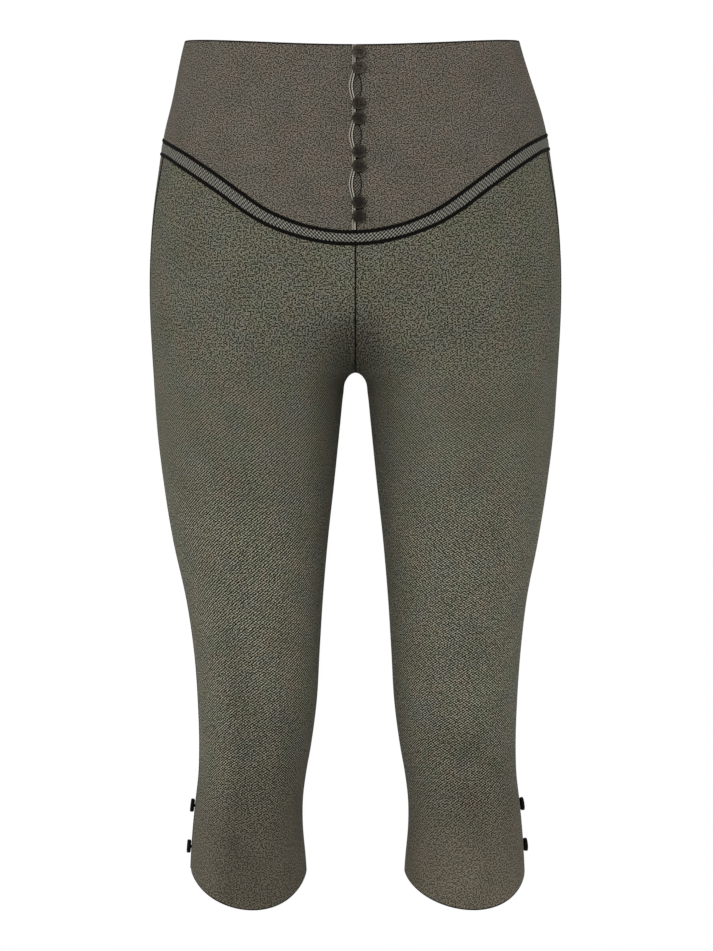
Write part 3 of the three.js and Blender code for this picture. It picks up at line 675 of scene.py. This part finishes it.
def rippled_bead(kind, run):
    """The sections of a cord sewn into a seam, at each length along it."""
    half_width, proud, sides, ripples = BEADS[kind]
    turn = np.linspace(0, np.pi, sides)
    out = -CORD_SUNK + (proud + CORD_SUNK) * np.sin(turn) ** CORD_ROUND
    ring = np.stack([half_width * np.cos(turn), out], axis=-1)
    ring = np.concatenate([ring, [[-half_width, -CORD_ROOT], [half_width, -CORD_ROOT]]])
    profile = np.repeat(ring[None], len(run), axis=0)
    swell = sum(height * np.sin(run * 2 * np.pi / pitch + phase) for height, pitch, phase in ripples)
    profile[:, :sides, :] *= 1 + swell[:, None, None]
    return profile


def band_cord(line):
    shares = np.linspace(0, 2, BAND_POINTS, endpoint=False)
    halves = []
    for side, order in ((LEFT, shares), (RIGHT, 2 - shares)):
        level = band_level(line, order, side)
        halves.append(on_cloth(side, level, HALF[side].length_of(level, order)))
    point, normal = (np.concatenate(part) for part in zip(*halves))
    profile = rippled_bead("band", run_along(point))
    return tube("cord_band_" + line, point, normal, profile, ring=True)


def side_cord(side):
    point, normal = (part[:, 0] for part in leg_grid("front", side, np.array([1.0]), 0.0)[:2])
    run = run_along(point)
    even = np.arange(0, run[-1], SIDE_STEP)
    point, normal = (np.stack([np.interp(even, run, part[:, k]) for k in range(3)], axis=-1)
                     for part in (point, normal))
    profile = rippled_bead("side", even)
    return tube("cord_side_" + WORDS[side], point, unit(normal), profile, ring=False)


LOOP_POINTS, LOOP_SIDES = 260, 10
LOOP_CLEAR, UNDER_CLEAR = 0.4, 0.3  # how far the loops and the underlap end above the band's cord


def closure_foot(clear):
    return float(BAND_LINE["upper"](0.0)) + BAND_CORD + clear


def loop_cord(word):
    offset, reach = LOOP_CORDS[word]
    top = float(waist_level(np.array(0.0))) - LOOP_RADIUS
    level = np.linspace(top, closure_foot(LOOP_CLEAR), LOOP_POINTS)
    point, normal = on_cloth(LEFT, level, offset - reach * bow(level))
    turn = np.linspace(0, 2 * np.pi, LOOP_SIDES, endpoint=False)
    out = LOOP_LIFT + LOOP_RADIUS * (1 + np.sin(turn))
    ring = np.stack([LOOP_RADIUS * np.cos(turn), out], axis=-1)
    profile = np.repeat(ring[None], LOOP_POINTS, axis=0)
    return tube("cord_loop_" + word, point, normal, profile, ring=False)


UNDER_TOP, UNDER_ROWS = -19, 90
UNDER_ACROSS, UNDER_COLUMNS = (-8, 10), 13
UNDER_GAP = 0.35  # how far it lies behind the yoke
HIDDEN_EDGE = 50.0  # its own edges don't show, so its cloth is taken as this far from one


def underlap():
    level, along = np.meshgrid(np.linspace(UNDER_TOP, closure_foot(UNDER_CLEAR), UNDER_ROWS),
                               np.linspace(*UNDER_ACROSS, UNDER_COLUMNS), indexing="ij")
    point, normal = on_cloth(LEFT, level, along)
    flat = np.zeros(level.shape)
    coords = np.stack([along, level, flat + HIDDEN_EDGE], axis=-1)
    return cloth_wall("cloth_underlap", point, normal, flat - CLOTH - UNDER_GAP, flat, coords, flat)


# ---- Buttons ----
BUTTON_SHAPE = np.array([  # radius, height above the cloth
    [0, 1.9], [1.5, 1.9], [4.7, 1.9], [5.2, 2.05], [5.55, 2.4], [5.7, 2.9], [5.7, 3.4],
    [5.55, 3.85], [5.25, 4.15], [4.85, 4.25], [4.4, 4.15], [4.05, 3.85], [3.75, 3.6],
    [3.3, 3.5], [2.4, 3.45], [0, 3.45],
])
UNDER_ROW, RIM_ROW = 0, 6  # its rows at the underside and where its side ends
FRONT_UNDERSIDE, CUFF_UNDERSIDE = 1.9, 0.9
BUTTON_SIDES = 40
HOLES = [(x, y) for x in (-1.15, 1.15) for y in (-1.15, 1.15)]
# radius, span in height, sides
HOLE, STRAND, SHANK = (0.72, (0.3, 5.0), 16), (0.5, (1.9, 3.3), 10), (1.3, (0.0, 1.95), 16)
# A button's crest stands out from its middle, its side and its underside: a painted highlight on the
# crest, and painted shade on the middle and, deeper, on the side and the underside
CREST_FROM, SIDE_FROM, FACE_FROM = 4.0, 5.5, 3.3
CREST_HIGHLIGHT, MIDDLE_SHADE, SIDE_SHADE = 1.0, -0.2, -0.7
TURN, TURN_STEP = 0.12, 5.1  # no two buttons stand quite the same
TEXTURE_STEP = 20.0  # nor share a place in the texture


def lathe(bm, profile, sides):
    rings = []
    for radius, height in profile:
        if radius == 0:
            rings.append([bm.verts.new((0, 0, height * MM))])
            continue
        turn = [2 * math.pi * k / sides for k in range(sides)]
        rings.append([bm.verts.new((radius * MM * math.cos(a), radius * MM * math.sin(a), height * MM))
                      for a in turn])
    for low, high in zip(rings[:-1], rings[1:]):
        for k in range(sides):
            m = (k + 1) % sides
            if len(low) == 1:
                bm.faces.new((low[0], high[m], high[k]))
            elif len(high) == 1:
                bm.faces.new((low[k], low[m], high[0]))
            else:
                bm.faces.new((low[k], low[m], high[m], high[k]))


def cylinder(bm, centre, radius, span, sides):
    (x, y), (low, high) = centre, span
    lower, upper = [], []
    for k in range(sides):
        a = 2 * math.pi * k / sides
        px, py = (x + radius * math.cos(a)) * MM, (y + radius * math.sin(a)) * MM
        lower.append(bm.verts.new((px, py, low * MM)))
        upper.append(bm.verts.new((px, py, high * MM)))
    for k in range(sides):
        m = (k + 1) % sides
        bm.faces.new((lower[k], lower[m], upper[m], upper[k]))
    bm.faces.new(upper)
    bm.faces.new(lower[::-1])


def mesh_from(bm, name):
    bmesh.ops.recalc_face_normals(bm, faces=bm.faces)
    mesh = bpy.data.meshes.new(name)
    bm.to_mesh(mesh)
    bm.free()
    return mesh


def button_mesh(underside):
    """A four-hole button whose underside lies at a height above the cloth."""
    shape = BUTTON_SHAPE.copy()
    drawn, rim = BUTTON_SHAPE[UNDER_ROW, 1], BUTTON_SHAPE[RIM_ROW, 1]
    rising = (shape[:RIM_ROW + 1, 1] - drawn) / (rim - drawn)
    shape[:RIM_ROW + 1, 1] = underside + (rim - underside) * rising
    bm = bmesh.new()
    lathe(bm, shape, BUTTON_SIDES)
    disc = bpy.data.objects.new("disc", mesh_from(bm, "disc"))
    bm = bmesh.new()
    for centre in HOLES:
        cylinder(bm, centre, *HOLE)
    holes = bpy.data.objects.new("holes", mesh_from(bm, "holes"))
    for o in (disc, holes):
        bpy.context.scene.collection.objects.link(o)
    cut = disc.modifiers.new("holes", "BOOLEAN")
    cut.operation, cut.object, cut.solver = "DIFFERENCE", holes, "EXACT"
    graph = bpy.context.evaluated_depsgraph_get()
    mesh = bpy.data.meshes.new_from_object(disc.evaluated_get(graph))
    for o in (disc, holes):
        bpy.data.objects.remove(o)
    return mesh


def thread_mesh():
    """The shank below the button and the strands that fill its holes."""
    bm = bmesh.new()
    cylinder(bm, (0, 0), *SHANK)
    for centre in HOLES:
        cylinder(bm, centre, *STRAND)
    return mesh_from(bm, "thread")


def on_places(name, base, places, tones):
    """Copies of one small mesh, stood on the cloth and joined."""
    vertices = np.array([v.co for v in base.vertices]) / MM
    polygons = [list(p.vertices) for p in base.polygons]
    radius, height = np.hypot(vertices[:, 0], vertices[:, 1]), vertices[:, 2]
    # painted highlight on the crest, painted shade on the middle, the side and the underside
    painted_light_and_shade = np.where(radius > CREST_FROM, CREST_HIGHLIGHT, MIDDLE_SHADE)
    painted_light_and_shade[(radius > SIDE_FROM) | (height < FACE_FROM)] = SIDE_SHADE
    points, faces, tone, coords = [], [], [], []
    for k, ((point, normal), shade) in enumerate(zip(places, tones)):
        out = Vector(normal)
        across = Vector((0, 0, 1)).cross(out).normalized()
        upright = Matrix((across, out.cross(across), out)).transposed()
        turned = upright @ Matrix.Rotation(TURN * math.sin(TURN_STEP * k), 3, "Z")
        faces += [[v + len(points) * len(vertices) for v in p] for p in polygons]
        points.append(vertices @ np.array(turned).T + point)
        coords.append(vertices + [k * TEXTURE_STEP, 0, 0])
        tone.append(shade + painted_light_and_shade)
    piece = new_mesh(name, np.concatenate(points), faces, BUTTON_ANGLE)
    mark(piece, coords, tone)
    return piece


FRONT_PLACES = [on_cloth(LEFT, z, BUTTON_OFFSET) for z in BUTTON_LEVELS]
FRONT_TONES = [2.4, 2.1, 0.9, 0.6, 0.5, 0.4, 0.1, 0.2]  # the photo's upper ones catch more light
CUFF_PLACES = []
for cuff_side in (RIGHT, LEFT):
    for z in CUFF_LEVELS:
        seam = HALF[cuff_side].length_of(z, seam_share(cuff_side, z))
        CUFF_PLACES.append(on_cloth(cuff_side, z, seam + CUFF_OFFSET))


# ---- Materials ----


def srgb(r, g, b):
    def linear(v):
        v /= 255
        return v / 12.92 if v <= 0.04045 else ((v + 0.055) / 1.055) ** 2.4
    return (linear(r), linear(g), linear(b), 1.0)


class Nodes:
    """A material and short names for the nodes that it is made of."""

    def __init__(self, name, roughness, specular=0.2, sheen=0.0):
        self.material = bpy.data.materials.new(name)
        self.material.use_nodes = True
        self.tree = self.material.node_tree
        self.shader = self.tree.nodes["Principled BSDF"]
        self.shader.inputs["Roughness"].default_value = roughness
        self.shader.inputs["Specular IOR Level"].default_value = specular
        self.shader.inputs["Sheen Weight"].default_value = sheen

    def node(self, kind):
        return self.tree.nodes.new("ShaderNode" + kind)

    def put(self, socket, value):
        if isinstance(value, bpy.types.NodeSocket):
            self.tree.links.new(value, socket)
        else:
            socket.default_value = value

    def attribute(self, name, vector=True):
        node = self.node("Attribute")
        node.attribute_name = name
        return node.outputs["Vector" if vector else "Fac"]

    def split(self, vector):
        node = self.node("SeparateXYZ")
        self.put(node.inputs[0], vector)
        return node.outputs

    def join(self, x, y, z=0.0):
        node = self.node("CombineXYZ")
        for socket, value in zip(node.inputs, (x, y, z)):
            self.put(socket, value)
        return node.outputs[0]

    def math(self, kind, a, b=0.0):
        node = self.node("Math")
        node.operation = kind
        for socket, value in zip(node.inputs, (a, b)):
            self.put(socket, value)
        return node.outputs[0]

    def add(self, *values):
        total = values[0]
        for value in values[1:]:
            total = self.math("ADD", total, value)
        return total

    def times(self, a, b):
        return self.math("MULTIPLY", a, b)

    def noise(self, vector, scale, detail=2.0, roughness=0.5):
        node = self.node("TexNoise")
        self.put(node.inputs["Vector"], vector)
        node.inputs["Scale"].default_value = scale
        node.inputs["Detail"].default_value = detail
        node.inputs["Roughness"].default_value = roughness
        return node.outputs["Fac"]

    def ramp(self, value, low, high, to_low=0.0, to_high=1.0, smooth=True):
        node = self.node("MapRange")
        node.interpolation_type = "SMOOTHSTEP" if smooth else "LINEAR"
        for socket, v in zip(node.inputs, (value, low, high, to_low, to_high)):
            self.put(socket, v)
        return node.outputs[0]

    def mix(self, fac, a, b):
        node = self.node("Mix")
        node.data_type = "RGBA"
        self.put(node.inputs["Factor"], fac)
        self.put(node.inputs["A"], a)
        self.put(node.inputs["B"], b)
        return node.outputs["Result"]

    def scale_colour(self, colour, by):
        node = self.node("VectorMath")
        node.operation = "SCALE"
        self.put(node.inputs[0], colour)
        self.put(node.inputs["Scale"], by)
        return node.outputs[0]

    def stripes(self, u, v, degrees, pitch, wobble=None):
        """A wave across lines that rise at an angle, from -1 to 1."""
        a = math.radians(degrees)
        across = self.add(self.times(u, -math.sin(a)), self.times(v, math.cos(a)))
        phase = self.times(across, 2 * math.pi / pitch)
        if wobble is not None:
            phase = self.add(phase, wobble)
        return self.math("SINE", phase)

    def wobble(self, flat, size):
        """What keeps stripes from running quite straight."""
        return self.ramp(self.noise(flat, size, 1), 0.3, 0.7, -0.6, 0.6, smooth=False)

    def grain(self, flat, size):
        """Fine two-tone specks, from -1 to 1."""
        return self.ramp(self.noise(flat, size, 0), 0.42, 0.58, -1, 1, smooth=False)

    def finish(self, colour, height=None, depth=0.12, strength=0.5):
        self.put(self.shader.inputs["Base Color"], colour)
        if height is not None:
            node = self.node("Bump")
            node.inputs["Strength"].default_value = strength
            node.inputs["Distance"].default_value = depth * MM
            self.put(node.inputs["Height"], height)
            self.put(self.shader.inputs["Normal"], node.outputs[0])
        return self.material


TWILL_PITCH, TWILL_SLANT = 1.8, 35
RISING_SHARE, FALLING_SHARE = 0.6, 0.4
# Where the leg's cloth changes, by level: hips, knees and calves, and what it changes by
HIPS, KNEES, CALVES = (-320, -245), (-330, -440), (-590, -690)
KNEE_WEAVE, PLAIN_WEAVE, KNEE_GRAIN, HIP_GRAIN, KNEE_SHADE = 0.8, -0.78, 1.2, 0.6, 0.9
CALF_COLOUR, CALF_SHARE = (74, 68, 59), 0.7
CLOUD_SIZE, CLOUD_TONES = 0.03, (0.88, 1.12)
FLECK_SIZE, FLECKS, FLECK_TONE = 0.62, (0.7, 0.76), 0.3
EDGE_REACH, EDGE_TONE = (0.7, 1.5), 0.08
DARKEST = 0.03


def twill(name, base, tints, twilled, grainy, grains=0.8, slant=TWILL_SLANT, by_level=False):
    """Fine two-tone twill, its light and dark threads crossing, mottled and flecked with dark."""
    n = Nodes(name, 0.95, specular=0.03, sheen=0.01)
    u, v, to_edge = n.split(n.attribute("cloth"))
    flat = n.join(u, v)
    wobble = n.wobble(flat, 0.25)
    rising = n.stripes(u, v, slant, TWILL_PITCH, wobble)
    falling = n.stripes(u, v, -slant, TWILL_PITCH, n.times(wobble, 0.6))
    weave = n.add(n.times(rising, RISING_SHARE), n.times(falling, FALLING_SHARE))
    grain = n.grain(flat, grains)
    height = n.add(weave, n.times(grain, 0.4))
    if by_level:
        # twilled down the thighs, crisp at the knees, only grainy at the hips and the calves
        hip = n.ramp(v, *HIPS)
        knee = n.times(n.ramp(v, *KNEES), n.ramp(v, *CALVES, 1, 0))
        calf = n.ramp(v, *CALVES)
        plain = n.times(n.add(hip, calf), PLAIN_WEAVE)
        weave = n.times(weave, n.add(1.0, n.times(knee, KNEE_WEAVE), plain))
        grain = n.times(grain, n.add(1.0, n.times(knee, KNEE_GRAIN), n.times(hip, HIP_GRAIN)))
    threads = n.add(n.times(weave, twilled), n.times(grain, grainy))
    shade = n.math("MAXIMUM", n.add(threads, 1.0), DARKEST)
    colour = srgb(*base)
    for k, (tint, size, share) in enumerate(tints):
        patches = n.ramp(n.noise(n.join(u, v, 31.0 * k), size, 2, 0.6), 0.4, 0.64, 0, share)
        colour = n.mix(patches, colour, srgb(*tint))
    if by_level:
        shade = n.times(shade, n.ramp(knee, 0, 1, 1.0, KNEE_SHADE, smooth=False))
        colour = n.mix(n.times(calf, CALF_SHARE), colour, srgb(*CALF_COLOUR))
    cloud = n.ramp(n.noise(flat, CLOUD_SIZE, 4, 0.6), 0.25, 0.75, *CLOUD_TONES, smooth=False)
    # the tone attribute adds the painted shade and painted light laid on the leg panels, at the
    # creases and the crotch
    tone = n.add(cloud, n.attribute("tone", vector=False))
    tone = n.times(tone, n.ramp(n.noise(flat, FLECK_SIZE, 1), *FLECKS, 1.0, FLECK_TONE))
    # darker close to a free edge or a seam; along the closure's gaps this darkening is painted shade
    tone = n.times(tone, n.ramp(to_edge, *EDGE_REACH, EDGE_TONE, 1.0))
    return n.finish(n.scale_colour(colour, n.times(tone, shade)), height)


DASH_RISE, DASH_FALL = (-38, 2.1), (52, 2.4)  # slant and pitch
DASH_COLOUR, DASH_MEAN, DASH_DARKEST = (76, 75, 69), 0.75, 0.05


def dashed(name):
    """The band's weave: light slanting dashes on dark, mirrored at the centre front."""
    n = Nodes(name, 0.9, specular=0.12)
    u, v, _ = n.split(n.attribute("cloth"))
    away = n.math("ABSOLUTE", u)
    flat = n.join(u, v)
    wobble = n.wobble(flat, 0.3)
    rising = n.times(n.stripes(away, v, *DASH_RISE, wobble), 1.4)
    falling = n.times(n.stripes(away, v, *DASH_FALL, n.times(wobble, 0.5)), 0.9)
    dashes = n.add(rising, falling, n.times(n.grain(flat, 0.8), 0.3))
    shade = n.math("MAXIMUM", n.add(dashes, DASH_MEAN), DASH_DARKEST)
    colour = n.scale_colour(srgb(*DASH_COLOUR)[:3], shade)
    return n.finish(colour, dashes, depth=0.15)


def corded(name, colour, light, pitch, specular=0.15, sheen=0.04):
    """Twisted or ribbed cord: fine ridges that run round it at a slant, one turn a pitch."""
    n = Nodes(name, 0.85, specular=specular, sheen=sheen)
    along, turn, _ = n.split(n.attribute("cloth"))
    phase = n.add(n.times(along, 2 * math.pi / pitch), n.times(turn, 2 * math.pi))
    ridge = n.math("SINE", phase)
    rough = n.noise(n.join(along, n.times(turn, 6.0)), 1.2, 3)
    shade = n.ramp(n.add(n.times(ridge, 0.35), rough), 0.2, 0.9)
    return n.finish(n.mix(shade, srgb(*colour), srgb(*light)), n.add(ridge, rough))


def plastic(name, base, light):
    """Moulded plastic, cloudy, finely scuffed, with a soft shine."""
    n = Nodes(name, 0.55, specular=0.05)
    place = n.attribute("cloth")
    cloud = n.noise(place, 0.45, 4, 0.6)
    scuff = n.noise(place, 3.2, 3, 0.7)
    colour = n.mix(n.ramp(cloud, 0.35, 0.7), srgb(*base), srgb(*light))
    # the tone attribute holds each button's painted highlight and painted shade, and the painted light
    # of the upper front buttons
    tone = n.add(1.0, n.attribute("tone", vector=False),
                 n.ramp(scuff, 0.3, 0.7, -0.18, 0.18, smooth=False))
    n.put(n.shader.inputs["Roughness"], n.ramp(scuff, 0.3, 0.7, 0.42, 0.62, smooth=False))
    bumps = n.add(cloud, n.times(scuff, 0.3))
    return n.finish(n.scale_colour(colour, tone), bumps, depth=0.08, strength=0.3)


def thread(name, colour, light):
    """Sewing thread: fine strands, lighter where they catch the light."""
    n = Nodes(name, 0.85, specular=0.15, sheen=0.05)
    strands = n.noise(n.attribute("cloth"), 3.0, 3, 0.7)
    colour = n.mix(n.ramp(strands, 0.3, 0.7), srgb(*colour), srgb(*light))
    return n.finish(colour, strands, depth=0.1)


# base colour, tints (colour, size, share), twill, grain
YOKE = twill("yoke_twill", (73, 69, 61),
             [((76, 68, 61), 0.06, 0.7), ((71, 69, 63), 0.05, 0.6)], 0.25, 0.74, 1.0)
LEG = twill("leg_twill", (73, 71, 61),
            [((75, 69, 59), 0.06, 0.7), ((69, 71, 65), 0.05, 0.6), ((69, 71, 58), 0.055, 0.6)],
            1.5, 0.5, by_level=True)
UNDER = twill("underlap_twill", (66, 64, 57), [((69, 64, 57), 0.06, 0.8)], 1.3, 0.4, slant=48)
BAND_WEAVE = dashed("band_dashes")
PIPING = corded("piping_black", (2, 2, 1), (12, 11, 9), 1.3, specular=0.05, sheen=0.0)
# the loop cords are painted lighter than the cloth, a painted highlight on their round ridges; the
# inner one is painted lighter than the outer
LOOPS = {"inner": corded("loop_pale_highlight", (104, 100, 92), (166, 161, 150), 1.8),
         "outer": corded("loop_grey_highlight", (92, 88, 80), (148, 143, 132), 1.8)}
BUTTON = plastic("button_brown", (15, 13, 10), (33, 29, 23))
THREAD = thread("thread_dark", (9, 8, 7), (22, 20, 17))

# ---- The pieces ----


def dress(piece, material, slot, *nodes):
    piece.data.materials.append(material)
    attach(piece, "root")
    if nodes:  # the threads stand for no node of their own
        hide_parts(*nodes)
    return piece


yokes = {side: dress(yoke_front(side), YOKE, "yoke_cloth", "yoke_front_" + WORDS[side])
         for side in (RIGHT, LEFT)}
yoke_behind = dress(yoke_back(), YOKE, "yoke_cloth", "yoke_back")
bands = {face: dress(band_cloth(face), BAND_WEAVE, "band_cloth", "band_" + face)
         for face in BAND_SHARES}
legs = {(face, side): dress(leg_panel(face, side), LEG, "leg_cloth",
                            "leg_" + face + "_" + WORDS[side])
        for face in ("front", "back") for side in (RIGHT, LEFT)}
for line in ("upper", "lower"):
    dress(band_cord(line), PIPING, "piping", "piping_" + line)
for side in (RIGHT, LEFT):
    dress(side_cord(side), PIPING, "piping", "piping_side_" + WORDS[side])
for word in LOOP_CORDS:
    dress(loop_cord(word), LOOPS[word], "loop", "loop_cord_" + word)
under = dress(underlap(), UNDER, "yoke_cloth", "placket_underlap")

front_nodes = ["front_button_%d" % (k + 1) for k in range(len(BUTTON_LEVELS))]
cuff_nodes = ["cuff_button_%s_%s" % (word, place)
              for word in ("right", "left") for place in ("upper", "lower")]
PLACES = FRONT_PLACES + CUFF_PLACES
dress(on_places("buttons_front", button_mesh(FRONT_UNDERSIDE), FRONT_PLACES, FRONT_TONES), BUTTON,
      "button", *front_nodes)
dress(on_places("buttons_cuffs", button_mesh(CUFF_UNDERSIDE), CUFF_PLACES,
                [0.0] * len(CUFF_PLACES)), BUTTON, "button", *cuff_nodes)
dress(on_places("thread_buttons", thread_mesh(), PLACES, [0.0] * len(PLACES)), THREAD, "loop")

# ---- Camera, light and floor ----
scene = bpy.context.scene
camera = bpy.data.objects.new("camera", bpy.data.cameras.new("camera"))
scene.collection.objects.link(camera)
DISTANCE, FIELD = 2.4, 0.8122  # metres; the field is the photo's whole height at mid depth
VIEW_X, VIEW_Z = 0.00085, -0.370
SENSOR = 36
camera.data.sensor_fit = "VERTICAL"
camera.data.sensor_height = SENSOR
camera.data.lens = SENSOR * DISTANCE / FIELD
camera.location = (VIEW_X, -DISTANCE, VIEW_Z)
camera.rotation_euler = (math.pi / 2, 0, 0)
scene.camera = camera
scene.view_settings.view_transform = "Standard"

world = bpy.data.worlds.new("studio")
scene.world = world
world.use_nodes = True
world.node_tree.nodes["Background"].inputs["Color"].default_value = (1, 1, 1, 1)
world.node_tree.nodes["Background"].inputs["Strength"].default_value = 1.0

LIT = Vector((0, 0, -0.35))  # what the lamps point at


def area_light(name, place, size, power):
    data = bpy.data.lights.new(name, "AREA")
    data.shape = "DISK"
    data.size = size
    data.energy = power
    lamp = bpy.data.objects.new(name, data)
    lamp.location = place
    lamp.rotation_euler = (LIT - Vector(place)).to_track_quat("-Z", "Y").to_euler()
    scene.collection.objects.link(lamp)


area_light("key", (-0.45, -2.6, 0.4), 1.2, 38)
area_light("left_edge", (-2.2, -0.5, -0.2), 0.9, 13)
area_light("right_edge", (2.2, -0.5, -0.2), 0.9, 10)

floor_mesh = bpy.data.meshes.new("floor")
floor_mesh.from_pydata([(-1.4, -3.4, -1), (1.4, -3.4, -1), (1.4, 1.15, -1), (-1.4, 1.15, -1)],
                       [], [(0, 1, 2, 3)])
floor = bpy.data.objects.new("floor", floor_mesh)
scene.collection.objects.link(floor)
n = Nodes("floor_white", 0.9)
spots = n.noise(n.node("TexCoord").outputs["Object"], 3, 2)
floor_mesh.materials.append(n.finish(n.mix(spots, (0.84, 0.84, 0.83, 1), (0.88, 0.88, 0.88, 1))))
